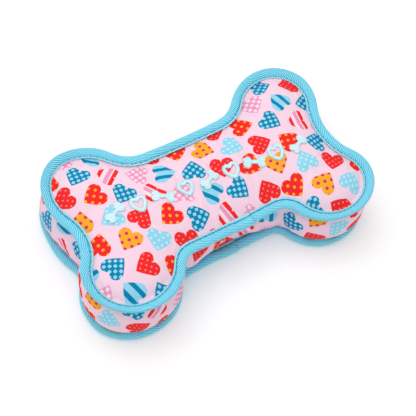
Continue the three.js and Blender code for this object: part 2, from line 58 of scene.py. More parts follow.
# Outline of the bone over the outer fold of the tape. Each lobe has its centre, its radius, how far
# its edge strays from a circle (swollen, skewed and squared) and its fillet to the waist
FRONT_LEFT = ((-0.0816, -0.0333), 0.0373, (-0.0005, 0.0020, 0.0003), 0.0105)
FRONT_RIGHT = ((0.0798, -0.0400), 0.0349, (0.0005, -0.0026, 0.0005), 0.0116)
BACK_RIGHT = ((0.0830, 0.0366), 0.0341, (-0.0008, 0.0009, -0.0005), 0.0244)
BACK_LEFT = ((-0.0815, 0.0341), 0.0361, (0.0, 0.0008, -0.0007), 0.0262)
FRONT_WAIST_Y = -0.0433
BACK_WAIST_Y = 0.0451
WAIST_HALF = 0.0339
RIGHT_NOTCH = 0.0484
LEFT_NOTCH = 0.0309
OUTLINE_STEP = 0.0005
OUTLINE_SOFTNESS = 0.0022

# Heights
BOTTOM_PLANE = 0.00375
SEAM_HEIGHT = 0.03957
END_LIFT = 0.0045
END_LIFT_REACH = 0.100
BACK_DROOP = 0.0016
FRONT_DROOP = 0.0030
DROOP_REACH = 0.045
DROOP_TURN_Y = 0.03
WAIST_TILT = math.radians(4)
LOBE_TILT = math.radians(25)
TOP_CROWN = 0.0080
CROWN_POWER = 2.6
CROWN_REACH = 0.0339

# Cloth, tape and seams
CLOTH = 0.0005
LINER = 0.0004
BACKING = 0.0003
CLEARANCE = 0.0003
HALF_GAP = CLEARANCE / 2
CLOTH_UPPER = HALF_GAP + CLOTH
TAPE = 0.0006
TAPE_SHOWN = 0.0091
STITCH_INSET = 0.0069
STITCH_GROOVE = 0.0009
TAPE_LIP_HEIGHT = 0.0021
LAP_STEP = 0.0007
LAP_LENGTH = 0.0110
LAP_RAMP = 0.0080
SEAM_INSET = 0.0101
SHOULDER = 0.0035
LINER_INSET = SEAM_INSET + CLOTH + CLEARANCE
FILL_INSET = LINER_INSET + LINER + CLEARANCE
SIDE_JOIN_X = -0.0023
TOP_TAPE_JOIN_X = 0.0040
BOTTOM_TAPE_JOIN_X = -0.0050
JOIN_GAP = 0.0004


def arc(centre, radius, start, end, stray=None):
    """Points along a lobe, anticlockwise, or clockwise along a hollow, which has no stray."""
    hollow = stray is None
    turn = -((start - end) % math.tau) if hollow else (end - start) % math.tau
    count = max(2, round(abs(turn) * radius / OUTLINE_STEP))
    share = np.arange(count) / count
    angles = start + turn * share
    waves = [size * np.sin((k + 1) * math.pi * share) for k, size in enumerate(stray or [0])]
    reach = (radius + sum(waves))[:, None]
    points = np.array(centre) + reach * np.stack([np.cos(angles), np.sin(angles)], 1)
    return points, np.zeros(count) if hollow else np.sin(math.pi * share)


def line(start, end):
    start, end = np.array(start), np.array(end)
    count = max(2, round(np.linalg.norm(end - start) / OUTLINE_STEP))
    shares = (np.arange(count) / count)[:, None]
    return start + shares * (end - start), np.zeros(count)


def heading(start, end):
    return math.atan2(end[1] - start[1], end[0] - start[0])


def notch_centre(first, second, radius):
    """Centre of the hollow circle that touches two lobes at one end of the toy."""
    c1, c2 = np.array(first[0]), np.array(second[0])
    reach1, reach2 = first[1] + radius, second[1] + radius
    gap = np.linalg.norm(c2 - c1)
    along = (reach1**2 - reach2**2 + gap**2) / (2 * gap)
    axis = (c2 - c1) / gap
    side = np.array([axis[1], -axis[0]])
    side *= math.copysign(1, side[0] * c1[0])
    return c1 + along * axis + math.sqrt(reach1**2 - along**2) * side


def fillet_centre(lobe, waist_y):
    (x, y), lobe_radius, _, radius = lobe
    centre_y = waist_y + math.copysign(radius, waist_y)
    reach = math.sqrt((lobe_radius + radius) ** 2 - (centre_y - y) ** 2)
    return (x - math.copysign(reach, x), centre_y)


def half_outline(first, second, waist_y, start, end):
    """One long side, from the middle of one notch round two lobes to the middle of the other."""
    (notch1, hollow1, middle1), (notch2, hollow2, middle2) = start, end
    (lobe1, radius1, stray1, fillet1), (lobe2, radius2, stray2, fillet2) = first, second
    inner1, inner2 = fillet_centre(first, waist_y), fillet_centre(second, waist_y)
    square = -math.copysign(math.pi / 2, waist_y)
    return [
        arc(notch1, hollow1, middle1, heading(notch1, lobe1)),
        arc(lobe1, radius1, heading(lobe1, notch1), heading(lobe1, inner1), stray1),
        arc(inner1, fillet1, heading(inner1, lobe1), square),
        line((inner1[0], waist_y), (inner2[0], waist_y)),
        arc(inner2, fillet2, square, heading(inner2, lobe2)),
        arc(lobe2, radius2, heading(lobe2, inner2), heading(lobe2, notch2), stray2),
        arc(notch2, hollow2, heading(notch2, lobe2), middle2),
    ]


def softened(values):
    """Values round the closed outline, with its jumps of curvature evened out."""
    offsets = np.fft.fftfreq(len(values), OUTLINE_STEP)
    keep = np.exp(-2 * (math.pi * offsets * OUTLINE_SOFTNESS) ** 2)
    return np.fft.ifft(np.fft.fft(values) * keep).real


def in_parts(measure, x, y):
    """Measures points some at a time, to save memory, and gives each result the shape of x."""
    spots = np.column_stack([np.ravel(x), np.ravel(y)])
    found = [measure(part) for part in np.array_split(spots, 1 + len(spots) // 2000)]
    return np.concatenate(found, -1).reshape(-1, *np.shape(x))


class Edge:
    """The outline from the middle of the left notch, anticlockwise from above, by its own length."""

    def __init__(self):
        right = (notch_centre(FRONT_RIGHT, BACK_RIGHT, RIGHT_NOTCH), RIGHT_NOTCH, math.pi)
        left = (notch_centre(FRONT_LEFT, BACK_LEFT, LEFT_NOTCH), LEFT_NOTCH, 0)
        front = half_outline(FRONT_LEFT, FRONT_RIGHT, FRONT_WAIST_Y, left, right)
        back = half_outline(BACK_RIGHT, BACK_LEFT, BACK_WAIST_Y, right, left)
        points = np.concatenate([part[0] for part in front + back])
        swell = np.concatenate([part[1] for part in front + back])
        points = np.stack([softened(points[:, 0]), softened(points[:, 1])], 1)
        ahead = np.roll(points, -1, 0)
        steps = np.linalg.norm(ahead - points, axis=1)
        along = ahead - np.roll(points, 1, 0)
        along /= np.linalg.norm(along, axis=1)[:, None]
        closed = np.column_stack([points, along[:, 1], -along[:, 0], softened(swell)])
        self.rows = np.vstack([closed, closed[:1]])
        self.lengths = np.concatenate([[0], np.cumsum(steps)])
        self.total = self.lengths[-1]
        self.half = self.lengths[sum(len(part[0]) for part in front)]

    def at(self, s):
        """x, y, outward x, outward y and swell at a length along the outline."""
        wrapped = np.mod(s, self.total)
        return [np.interp(wrapped, self.lengths, self.rows[:, k]) for k in range(5)]

    def place(self, s, inset):
        x, y, out_x, out_y, _ = self.at(s)
        return x - inset * out_x, y - inset * out_y

    def front_at(self, x):
        """The length along the outline where the front of the waist has this x."""
        span = (self.lengths < self.half) & (np.abs(self.rows[:, 0]) < WAIST_HALF)
        return float(np.interp(x, self.rows[span, 0], self.lengths[span]))

    def around(self, x, y):
        """Distance from points inside the bone to the outline, and the swell they are near."""
        rows = self.rows[:-1:2]

        def near(spots):
            gaps = ((spots[:, None, :] - rows[None, :, :2]) ** 2).sum(2)
            weight = 1 / (gaps + 1e-7) ** 2
            return np.stack([np.sqrt(gaps.min(1)), (weight * rows[:, 4]).sum(1) / weight.sum(1)])

        return in_parts(near, x, y)

    def nearest(self, x, y):
        """The length along the outline nearest to each point."""

        def length(spots):
            gaps = spots[:, None, :] - self.rows[None, :-1, :2]
            return self.lengths[(gaps**2).sum(2).argmin(1)]

        return in_parts(length, x, y)[0]

    def inside(self, x, y):
        near_x, near_y, out_x, out_y, _ = self.at(self.nearest(x, y))
        return (x - near_x) * out_x + (y - near_y) * out_y < 0


edge = Edge()


def smooth(value, low, high):
    share = np.clip((value - low) / (high - low), 0, 1)
    return share * share * (3 - 2 * share)


def bell(value, width):
    return np.exp(-((value / width) ** 2))


def noise_at(x, y, seed):
    found = [noise.noise((a, b, seed)) for a, b in zip(np.ravel(x), np.ravel(y))]
    return np.array(found).reshape(np.shape(x))


def wobble(s, size, reach, seed):
    """A slow random wave round the outline, as hand-guided sewing leaves."""
    turn = np.mod(s, edge.total) / edge.total * math.tau
    ring = edge.total / math.tau / reach
    return size * noise_at(np.cos(turn) * ring, np.sin(turn) * ring, seed)


def lumps(x, y, size, reach, seed):
    """Soft unevenness of the stuffing under a panel."""
    return size * noise_at(x / reach, y / reach, seed)


def upper_fold(x, y):
    """Height of the upper tape's fold: it lifts towards the ends and droops at the waist."""
    droop = FRONT_DROOP + (BACK_DROOP - FRONT_DROOP) * smooth(y, -DROOP_TURN_Y, DROOP_TURN_Y)
    lift = END_LIFT * (x / END_LIFT_REACH) ** 2
    sag = droop * bell(x, DROOP_REACH)
    return BOTTOM_PLANE + SEAM_HEIGHT + lift - sag


def upper_tilt(swell):
    """The upper tape stands up round the lobes and lies nearly flat along the waist."""
    return WAIST_TILT + (LOBE_TILT - WAIST_TILT) * swell


def flat_fold(x, y):
    return BOTTOM_PLANE + 0 * x


def nothing(value):
    """No tilt, or no spread, anywhere along a seam."""
    return 0 * value


# Soft valleys that the pull of the seams leaves in the top panel: start, end, width, depth
FOLDS = (
    ((0.030, -0.036), (0.052, -0.006), 0.0075, 0.0011),
    ((-0.036, -0.036), (-0.055, -0.004), 0.0070, 0.0009),
    ((0.034, 0.036), (0.054, 0.012), 0.0075, 0.0009),
    ((-0.036, 0.036), (-0.056, 0.010), 0.0070, 0.0009),
)
# Lumps of the stuffing under the panels: size, reach and seed
TOP_LUMPS = ((0.0007, 0.026, 3.1), (0.0003, 0.011, 8.4))
BOTTOM_LUMPS = (0.0005, 0.022, 5.7)
CALM_EDGE = 0.006
BOTTOM_CALM = (0.002, 0.012)
BOTTOM_SHOULDER = 1.6 * SHOULDER
# Where along a valley it sets in and runs out
FOLD_START = (-0.1, 0.25)
FOLD_END = (0.45, 1.2)


def fold_depth(x, y):
    depth = np.zeros(np.shape(x))
    for start, end, width, size in FOLDS:
        start, end = np.array(start), np.array(end)
        span = end - start
        along = ((x - start[0]) * span[0] + (y - start[1]) * span[1]) / (span @ span)
        across = ((x - start[0]) * span[1] - (y - start[1]) * span[0]) / np.linalg.norm(span)
        fade = smooth(along, *FOLD_START) * (1 - smooth(along, *FOLD_END))
        depth += size * fade * bell(across, width)
    return depth


def seam_gap(x, y):
    """Distance in from the top seam, distance in from the tape's fold, and the tape's tilt."""
    inset, swell = edge.around(x, y)
    tilt = upper_tilt(swell)
    return inset - SEAM_INSET * np.cos(tilt), inset, tilt


def top_form(x, y):
    """Height of the outer face of the top panel before its cloth settles."""
    gap, inset, tilt = seam_gap(x, y)
    gap = np.maximum(0, gap)
    uneven = sum(lumps(x, y, *lump) for lump in TOP_LUMPS)
    relief = smooth(gap, 0, CALM_EDGE) * (uneven - fold_depth(x, y))
    crown = TOP_CROWN * (1 - (1 - np.clip(gap / CROWN_REACH, 0, 1)) ** CROWN_POWER)
    level = upper_fold(x, y) - (inset - gap) * np.tan(tilt)
    return level + CLOTH_UPPER + crown + relief


def bottom_face(x, y):
    """Height of the outer face of the bottom panel, which lies on the floor."""
    gap = np.maximum(0, edge.around(x, y)[0] - SEAM_INSET)
    drop = smooth(gap, 0, BOTTOM_SHOULDER)
    uneven = np.abs(lumps(x, y, *BOTTOM_LUMPS)) * smooth(gap, *BOTTOM_CALM)
    return (BOTTOM_PLANE - CLOTH_UPPER) * (1 - drop) + uneven


def placed(name, data):
    """Puts a mesh, a lamp or a camera in the scene."""
    made = bpy.data.objects.new(name, data)
    bpy.context.scene.collection.objects.link(made)
    return made


def mesh_of(name, bm):
    mesh = bpy.data.meshes.new(name)
    bm.to_mesh(mesh)
    bm.free()
    return mesh


def spots_of(mesh):
    spots = np.zeros(len(mesh.vertices) * 3)
    mesh.vertices.foreach_get("co", spots)
    return spots.reshape(-1, 3)


# Cloth simulation: the stuffing presses on cloth that is sewn down along its seams
SETTLE_FRAMES = 16
SETTLE_SCALE = 10.0
SETTLE_LIMIT = 0.0020
SETTLE_CELL = 0.0026
SETTLE_BLUR = 5
SETTLE_FADE = 0.003
SETTLE_FADE_SHARE = 0.1
TOP_SPAN_X, TOP_SPAN_Y = 0.125, 0.083
WALL_ROWS = 14
CLOTH_SETTINGS = {
    "vertex_group_mass": "sewn",
    "quality": 6,
    "mass": 0.3,
    "tension_stiffness": 15,
    "compression_stiffness": 15,
    "shear_stiffness": 5,
    "bending_stiffness": 0.5,
    "use_pressure": True,
    "uniform_pressure_force": 6,
    "shrink_min": -0.05,
}
settled_top = None
settled_wall = None


def settled(start, sewn):
    """Simulates a grid of cloth, sewn down where sewn says so, and returns its moved corners."""
    rows, columns = sewn.shape
    bm = bmesh.new()
    bmesh.ops.create_grid(bm, x_segments=columns - 1, y_segments=rows - 1, size=0.5)
    for vert, spot in zip(bm.verts, start.reshape(-1, 3) * SETTLE_SCALE):
        vert.co = spot
    idle = [face for face in bm.faces if all(sewn.flat[v.index] for v in face.verts)]
    bmesh.ops.delete(bm, geom=idle, context="FACES_ONLY")
    mesh = mesh_of("settling_cloth", bm)
    piece = placed("settling_cloth", mesh)
    piece.vertex_groups.new(name="sewn").add(np.flatnonzero(sewn).tolist(), 1.0, "REPLACE")
    cloth = piece.modifiers.new("cloth", "CLOTH")
    for name, value in CLOTH_SETTINGS.items():
        setattr(cloth.settings, name, value)
    cloth.settings.effector_weights.gravity = 0
    cloth.collision_settings.use_collision = False
    cloth.point_cache.frame_start = 1
    cloth.point_cache.frame_end = SETTLE_FRAMES
    for step in range(1, SETTLE_FRAMES + 1):
        bpy.context.scene.frame_set(step)
    ready = piece.evaluated_get(bpy.context.evaluated_depsgraph_get())
    moved = spots_of(ready.data).reshape(rows, columns, 3) / SETTLE_SCALE
    bpy.context.scene.frame_set(1)
    bpy.data.objects.remove(piece)
    bpy.data.meshes.remove(mesh)
    return moved


def uneven_part(field, fade):
    """What a field has over its own blurred form, within the limit, times a fade at its edges."""
    offsets = np.arange(-3 * SETTLE_BLUR, 3 * SETTLE_BLUR + 1)
    weights = bell(offsets, SETTLE_BLUR)
    weights /= weights.sum()
    blurred = field
    for axis, wide in ((0, ((-offsets[0],) * 2, (0, 0))), (1, ((0, 0), (-offsets[0],) * 2))):
        padded = np.pad(blurred, wide, "edge")
        cells = np.arange(field.shape[axis])
        blurred = sum(w * np.take(padded, cells + k, axis) for k, w in enumerate(weights))
    return np.clip(field - blurred, -SETTLE_LIMIT, SETTLE_LIMIT) * fade


def sampled(field, column, row):
    """Values of a field between its corners."""
    column = np.clip(column, 0, field.shape[1] - 1.001)
    row = np.clip(row, 0, field.shape[0] - 1.001)
    i, j = column.astype(int), row.astype(int)
    a, b = column - i, row - j
    low = field[j, i] * (1 - a) + field[j, i + 1] * a
    high = field[j + 1, i] * (1 - a) + field[j + 1, i + 1] * a
    return low * (1 - b) + high * b


def top_face(x, y):
    """Height of the outer face of the top panel."""
    height = top_form(x, y)
    if settled_top is not None:
        cells = (x + TOP_SPAN_X) / SETTLE_CELL, (y + TOP_SPAN_Y) / SETTLE_CELL
        height = height + sampled(settled_top, *cells)
    return height


def settle_top():
    """How far the top panel's cloth moves up or down where the stuffing presses on it."""
    columns = np.arange(round(2 * TOP_SPAN_X / SETTLE_CELL) + 1)
    rows = np.arange(round(2 * TOP_SPAN_Y / SETTLE_CELL) + 1)
    x, y = np.meshgrid(columns * SETTLE_CELL - TOP_SPAN_X, rows * SETTLE_CELL - TOP_SPAN_Y)
    inside = edge.inside(x, y)
    gap = seam_gap(x, y)[0]
    sewn = ~inside | (gap <= 0)
    start = np.stack([x, y, top_form(x, y)], 2)
    rise = np.where(sewn, 0, (settled(start, sewn) - start)[:, :, 2])
    return uneven_part(rise, smooth(gap, 0, SETTLE_FADE) * inside)


# Side wall
WAIST_SWELL = 0.0035
END_SWELL = 0.0065
END_SWELL_START = 0.004
END_SWELL_FULL = 0.040
BELLY_POWER = 0.42
BELLY_SAG = 0.75
BELLY_START = 0.04
BOTTOM_SPREAD_WAIST = 0.0008
BOTTOM_SPREAD_LOBE = 0.0014
LEFT_SPREAD = 0.0017
LEFT_NOTCH_SPREAD = 0.0042
LEFT_NOTCH_Y = 0.009
LEFT_NOTCH_REACH = 0.014
LEFT_SPREAD_X = (0.030, 0.075)
LEFT_NOTCH_X = (0.070, 0.095)
BACK_TURN_Y = 0.01
FRONT_FACING = 0.7


def bottom_grow(s):
    """How far the lower seam stands out past the upper one, more so at the left end."""
    x, y, _, out_y, swell = edge.at(s)
    even = BOTTOM_SPREAD_WAIST + (BOTTOM_SPREAD_LOBE - BOTTOM_SPREAD_WAIST) * swell
    notch = smooth(-x, *LEFT_NOTCH_X) * bell(y - LEFT_NOTCH_Y, LEFT_NOTCH_REACH)
    facing = np.maximum(smooth(y, -BACK_TURN_Y, BACK_TURN_Y), smooth(-out_y, 0, FRONT_FACING))
    return even + LEFT_SPREAD * smooth(-x, *LEFT_SPREAD_X) * facing + LEFT_NOTCH_SPREAD * notch


def wall_spot(s, share, inset, flange=0.0):
    """Place on the side wall at a share of its height, moved out into a tape by flange."""
    x0, y0, out_x, out_y, swell = edge.at(s)
    tilt = upper_tilt(swell)
    level = np.clip((share - BELLY_START) / (1 - 2 * BELLY_START), 0, 1)
    belly = np.sin(math.pi * level**BELLY_SAG) ** BELLY_POWER
    lean = bottom_grow(s) * (1 - share) ** 2 + inset * (1 - np.cos(tilt)) * share
    upper = flange * (share >= 0.5)
    lower = flange * (share < 0.5)
    run = upper * np.cos(tilt) + lower
    full = smooth(np.abs(x0), END_SWELL_START, END_SWELL_FULL)
    outward = (WAIST_SWELL + END_SWELL * full) * belly + lean + run - inset
    if settled_wall is not None:
        part = np.mod(s - edge.front_at(SIDE_JOIN_X), edge.total) / edge.total
        column = part * (settled_wall.shape[1] - 1)
        outward = outward + sampled(settled_wall, column, share * WALL_ROWS)
    x, y = x0 + outward * out_x, y0 + outward * out_y
    depth = inset - SEAM_INSET
    low = BOTTOM_PLANE + CLOTH_UPPER + depth
    high = upper_fold(x, y) - (SEAM_INSET - upper) * np.sin(tilt) - CLOTH_UPPER - depth
    return x, y, low + (high - low) * share


def settle_wall():
    """How far the side strip's cloth moves out or in where the stuffing presses on it."""
    columns = round(edge.total / SETTLE_CELL) + 1
    lengths = edge.front_at(SIDE_JOIN_X) + edge.total * np.arange(columns) / (columns - 1)
    s, share = np.meshgrid(lengths, np.arange(WALL_ROWS + 1) / WALL_ROWS)
    start = np.stack(wall_spot(s, share, SEAM_INSET), 2)
    sewn = (share == 0) | (share == 1)
    sewn[:, [0, -1]] = True
    moved = settled(start, sewn) - start
    _, _, out_x, out_y, _ = edge.at(s)
    shift = moved[:, :, 0] * out_x + moved[:, :, 1] * out_y
    from_seam = np.minimum(share, 1 - share)
    return uneven_part(shift, smooth(from_seam, 0, SETTLE_FADE_SHARE))


settled_wall = settle_wall()
settled_top = settle_top()


# Shader nodes


class Value:
    """What a node gives. Sums and products of values add the math nodes that work them out."""

    def __init__(self, graph, socket):
        self.graph = graph
        self.socket = socket

    def __add__(self, other):
        return self.graph.math("ADD", self, other)

    def __sub__(self, other):
        return self.graph.math("SUBTRACT", self, other)

    def __rsub__(self, other):
        return self.graph.math("SUBTRACT", other, self)

    def __mul__(self, other):
        return self.graph.math("MULTIPLY", self, other)

    def __truediv__(self, other):
        return self.graph.math("DIVIDE", self, other)

    def __rtruediv__(self, other):
        return self.graph.math("DIVIDE", other, self)

    def __mod__(self, other):
        return self.graph.math("FLOORED_MODULO", self, other)

    def __abs__(self):
        return self.graph.math("ABSOLUTE", self)


class Graph:
    """Adds nodes to one node tree and joins them."""

    def __init__(self, tree):
        self.tree = tree

    def node(self, kind, inputs=(), **settings):
        """A new node, with its inputs given by name or in order."""
        made = self.tree.nodes.new(kind)
        for name, value in settings.items():
            setattr(made, name, value)
        for key, value in inputs.items() if isinstance(inputs, dict) else enumerate(inputs):
            self.join(value, made.inputs[key])
        return made

    def join(self, value, socket):
        if isinstance(value, Value):
            self.tree.links.new(value.socket, socket)
        else:
            socket.default_value = value

    def outputs(self, node):
        return {socket.name: Value(self, socket) for socket in node.outputs}

    def value(self, kind, inputs=(), output=0, **settings):
        """What a new node gives at one of its outputs."""
        return Value(self, self.node(kind, inputs, **settings).outputs[output])

    def math(self, operation, *values):
        return self.value("ShaderNodeMath", values, operation=operation)

    def length(self, x, y):
        inputs = [self.combine(x, y)]
        return self.value("ShaderNodeVectorMath", inputs, "Value", operation="LENGTH")

    def mix(self, share, first, second, blend="MIX"):
        inputs = {0: share, 6: first, 7: second}
        return self.value("ShaderNodeMix", inputs, 2, data_type="RGBA", blend_type=blend)

    def between(self, value, low, high, start=0.0, end=1.0):
        inputs = (value, low, high, start, end)
        return self.value("ShaderNodeMapRange", inputs, interpolation_type="SMOOTHSTEP")

    def combine(self, x, y, z=0.0):
        return self.value("ShaderNodeCombineXYZ", (x, y, z))

    def split(self, vector):
        return self.outputs(self.node("ShaderNodeSeparateXYZ", [vector])).values()

    def turned(self, place, angle):
        inputs = {"Vector": place, "Angle": angle}
        return self.value("ShaderNodeVectorRotate", inputs, rotation_type="Z_AXIS")

    def noise(self, place, scale, detail=2.0, roughness=0.5):
        inputs = {"Vector": place, "Scale": scale, "Detail": detail, "Roughness": roughness}
        return self.value("ShaderNodeTexNoise", inputs, "Fac")

    def use(self, nodes, **values):
        return self.outputs(self.node("ShaderNodeGroup", values, node_tree=nodes))


def colour(code):
    """A colour written as red, green and blue in two hex digits each."""
    parts = [int(code[k : k + 2], 16) / 255 for k in (0, 2, 4)]
    return [p / 12.92 if p < 0.04045 else ((p + 0.055) / 1.055) ** 2.4 for p in parts] + [1.0]


def group(name, build, outputs, **amounts):
    """A node group that takes a place and some amounts, and gives what build returns."""
    tree = bpy.data.node_groups.new(name, "ShaderNodeTree")
    add = tree.interface.new_socket
    add("Place", in_out="INPUT", socket_type="NodeSocketVector")
    for label, start in amounts.items():
        add(label, in_out="INPUT", socket_type="NodeSocketFloat").default_value = start
    for label in outputs:
        kind = "NodeSocketColor" if label == "Color" else "NodeSocketFloat"
        add(label, in_out="OUTPUT", socket_type=kind)
    graph = Graph(tree)
    found = build(graph, graph.outputs(graph.node("NodeGroupInput")))
    graph.node("NodeGroupOutput", dict(zip(outputs, found)))
    return tree


def weave(graph, source):
    """Plain weave: raised where warp and weft cross over each other, with uneven yarns."""
    x, y, _ = graph.split(source["Place"])
    turn = math.pi / source["Pitch"]
    warp = graph.math("SINE", x * turn)
    weft = graph.math("SINE", y * turn)
    cross = warp * weft
    warp_top = abs(warp) * graph.math("GREATER_THAN", cross, 0.0)
    weft_top = abs(weft) * graph.math("LESS_THAN", cross, 0.0)
    slub = graph.noise(source["Place"], 900.0, 2.0)
    uneven = (warp_top + weft_top) * graph.between(slub, 0.3, 0.7, 0.7, 1.0)
    return uneven, graph.between(slub, 0.25, 0.75, 0.965, 1.02)


def handling(graph, source):
    """Slow changes of tone, as handled cloth has."""
    slow = graph.noise(source["Place"], 28.0, 3.0)
    fine = graph.noise(source["Place"], 160.0, 3.0, 0.6)
    centred = slow * 0.7 + fine * 0.3 - 0.5
    return [graph.math("MULTIPLY_ADD", centred, source["Amount"], 1.0)]


# The print: hearts in staggered rows, on a sheet of cloth that lies turned under the toy
PRINT_GROUND = "fbd8e9"
HEART_PITCH = 0.0216
HEART_ROW = 0.0187
HEART_SIZE = 0.0154
HEART_JITTER = 0.0014
HEART_SHEET_TURN = math.radians(23)
RED, MARIGOLD, TEAL, SKY, ROSE = "fa2a2e", "ffb02a", "0086b4", "97dbf3", "f59cc3"
BLUSH, MAGENTA, PALE_SKY, SALMON = "fde3ef", "e0306c", "c9f0fb", "fb8f85"
DOTS, CHECKS, STRIPES, CANDY = "dots", "checks", "stripes", "candy"
# Kind, ground, figure, pitch and how much of the pitch the figure takes; the first ones come up
# twice as often as the others
HEART_FILLS = (
    (DOTS, RED, SALMON, 0.0026, 0.42),
    (CHECKS, TEAL, SKY, 0.0028, 0.76),
    (DOTS, RED, MARIGOLD, 0.0036, 0.50),
    (CANDY, RED, ROSE, 0.0104, 0.30),
    (DOTS, MARIGOLD, MAGENTA, 0.0038, 0.56),
    (CHECKS, ROSE, BLUSH, 0.0029, 0.80),
    (DOTS, SKY, PALE_SKY, 0.0029, 0.55),
    (STRIPES, SKY, TEAL, 0.0078, 0.42),
)
HEARTS_TWICE = 3
# The form of a heart, in shares of its size
HEART_WIDTH_SHARE = 0.94
HEART_BELOW = 0.56
HEART_BOW = 0.6
HEART_SHOULDER = 0.8
HEART_CORNER = 1.06
LOBE_ACROSS, LOBE_UP, LOBE_RADIUS = 0.30, 0.76, 0.33
HEART_BLUR = 0.012
CANDY_SHIFT = 0.40


def lattice(graph, x, y, pitch, size):
    """Spots on a staggered grid: round where small, square with round corners where large."""
    turn = math.pi / pitch
    wave = graph.math("COSINE", x * turn) * graph.math("COSINE", y * turn)
    level = math.cos(math.pi / 2 * size) ** 1.6
    return graph.between(wave, level - 0.08, level + 0.08)


def bands(graph, y, pitch, size, shift=0.0):
    """Stripes across y that take a share of the pitch."""
    phase = graph.math("FRACT", y / pitch + (shift + 8.0))
    away = abs(phase - 0.5)
    return graph.between(away, size / 2 - 0.02, size / 2 + 0.02, 1.0, 0.0)


def heart_fill(graph, kind, ground, figure, pitch, size, x, y):
    ground, figure = colour(ground), colour(figure)
    if kind in (DOTS, CHECKS):
        return graph.mix(lattice(graph, x, y, pitch, size), ground, figure)
    if kind == STRIPES:
        return graph.mix(bands(graph, x, pitch, size), ground, figure)
    pale = graph.mix(bands(graph, y, pitch, size), colour(BLUSH), ground)
    return graph.mix(bands(graph, y, pitch, size, CANDY_SHIFT), pale, figure)


def heart_mask(graph, a, b):
    """One inside a heart: straight sides that bow a little, and two round lobes."""
    across = abs(a / (HEART_WIDTH_SHARE * HEART_SIZE))
    up = b / HEART_SIZE + HEART_BELOW
    side = across - up - (0.5 - up) * (up * HEART_BOW)
    corner = across + up - HEART_CORNER
    slanted = graph.math("MAXIMUM", side, corner) * 0.7
    lower = graph.math("MAXIMUM", slanted, up - HEART_SHOULDER)
    lobe = graph.length(across - LOBE_ACROSS, up - LOBE_UP) - LOBE_RADIUS
    return graph.between(graph.math("MINIMUM", lower, lobe), -HEART_BLUR, HEART_BLUR, 1.0, 0.0)


def heart_print(graph, source):
    """Hearts scattered on a pink ground, each turned its own way, with eight plain fills."""
    x, y, _ = graph.split(graph.turned(source["Place"], HEART_SHEET_TURN))

    def nearest_in(row):
        place = x / HEART_PITCH + row % 2.0 * 0.5
        column = graph.math("FLOOR", place)
        off_x = (place - column - 0.5) * HEART_PITCH
        off_y = (y / HEART_ROW - row - 0.5) * HEART_ROW
        return column, row, off_x, off_y, graph.length(off_x, off_y)

    below = graph.math("FLOOR", y / HEART_ROW - 0.5)
    lower, upper = nearest_in(below), nearest_in(below + 1.0)
    upper_nearer = graph.math("GREATER_THAN", lower[4], upper[4])
    column, row, off_x, off_y = [
        graph.math("MULTIPLY_ADD", upper_nearer, high - low, low)
        for low, high in zip(lower[:4], upper[:4])
    ]
    cell = {"Vector": graph.combine(column, row)}
    chance = graph.value("ShaderNodeTexWhiteNoise", cell, "Color", noise_dimensions="2D")
    shift_x, shift_y, turn_share = graph.split(chance)
    spot = graph.combine(
        graph.math("MULTIPLY_ADD", 0.5 - shift_x, HEART_JITTER, off_x),
        graph.math("MULTIPLY_ADD", 0.5 - shift_y, HEART_JITTER, off_y),
    )
    a, b, _ = graph.split(graph.turned(spot, turn_share * math.tau))
    which = column * 2.0 + row * 4.0
    for count in (len(HEART_FILLS) + HEARTS_TWICE, len(HEART_FILLS)):
        which %= float(count)
    picked = colour(PRINT_GROUND)
    for index, fill in enumerate(HEART_FILLS):
        chosen = graph.math("COMPARE", which, float(index), 0.4)
        picked = graph.mix(chosen, picked, heart_fill(graph, *fill, a, b))
    return [graph.mix(heart_mask(graph, a, b), colour(PRINT_GROUND), picked)]


# Tape
TAPE_ROWS = 44
TAPE_COLUMNS = 1100
TAPE_BEAD_HEIGHT = 0.0029
TAPE_BEAD_INSET = 0.0034
STITCH_GROOVE_WIDTH = 0.0006
LAP_ROUND = 0.0012
RIB_PITCH = 0.00130
RIB_ANGLE = math.radians(28)
RIB_RISE = 0.00013
RIB_DRIFT = 0.0005
TAPE_PUCKER = 0.00016
TAPE_PUCKER_PITCH = 0.0052
TAPE_PUCKER_DRIFT = (8, 0.02)
TAPE_YARN = 0.00045
# Spans of painted light on the tape: painted shade along the stitch groove, a painted highlight on
# the lip, and a painted shadow at the lapped end
GROOVE_PAINTED_SHADE = (0.0004, 0.0008)
LIP_PAINTED_HIGHLIGHT = (0.0006, 0.0010)
LAP_END_PAINTED_SHADOW = (0.0010, 0.0003)
SECTION_POINTS = 1200
# How the sewn line sways in and out and up and down: size and reach
TAPE_SWAY = (0.0005, 0.022)
TAPE_LEAN = (0.0007, 0.030)


def tape_section():
    """Inset and height across the tape, from its lower inner edge over the fold to its upper one."""
    inset = TAPE_SHOWN * (0.5 - 0.5 * np.cos(np.linspace(0, math.pi, SECTION_POINTS)))
    near = np.clip(inset / TAPE_BEAD_INSET, 0, 1)
    bead = TAPE_BEAD_HEIGHT * np.sqrt(1 - (1 - near) ** 2)
    fall = (TAPE_BEAD_HEIGHT - TAPE_LIP_HEIGHT) * smooth(inset, TAPE_BEAD_INSET, STITCH_INSET)
    groove = STITCH_GROOVE * bell(inset - STITCH_INSET, STITCH_GROOVE_WIDTH)
    upper = np.stack([inset, bead - fall - groove], 1)
    both = np.vstack([(upper * (1, -1))[:0:-1], upper])
    run = run_along(both)
    even = np.linspace(0, run[-1], TAPE_ROWS + 1)
    return np.interp(even, run, both[:, 0]), np.interp(even, run, both[:, 1]), even


def run_along(points):
    """The length of a line from its start to each of its points."""
    return np.concatenate([[0], np.cumsum(np.linalg.norm(np.diff(points, axis=0), axis=1))])


TAPE_HALF = tape_section()[2][-1] / 2
STITCH_LINE = TAPE_HALF - (TAPE_SHOWN - STITCH_INSET)


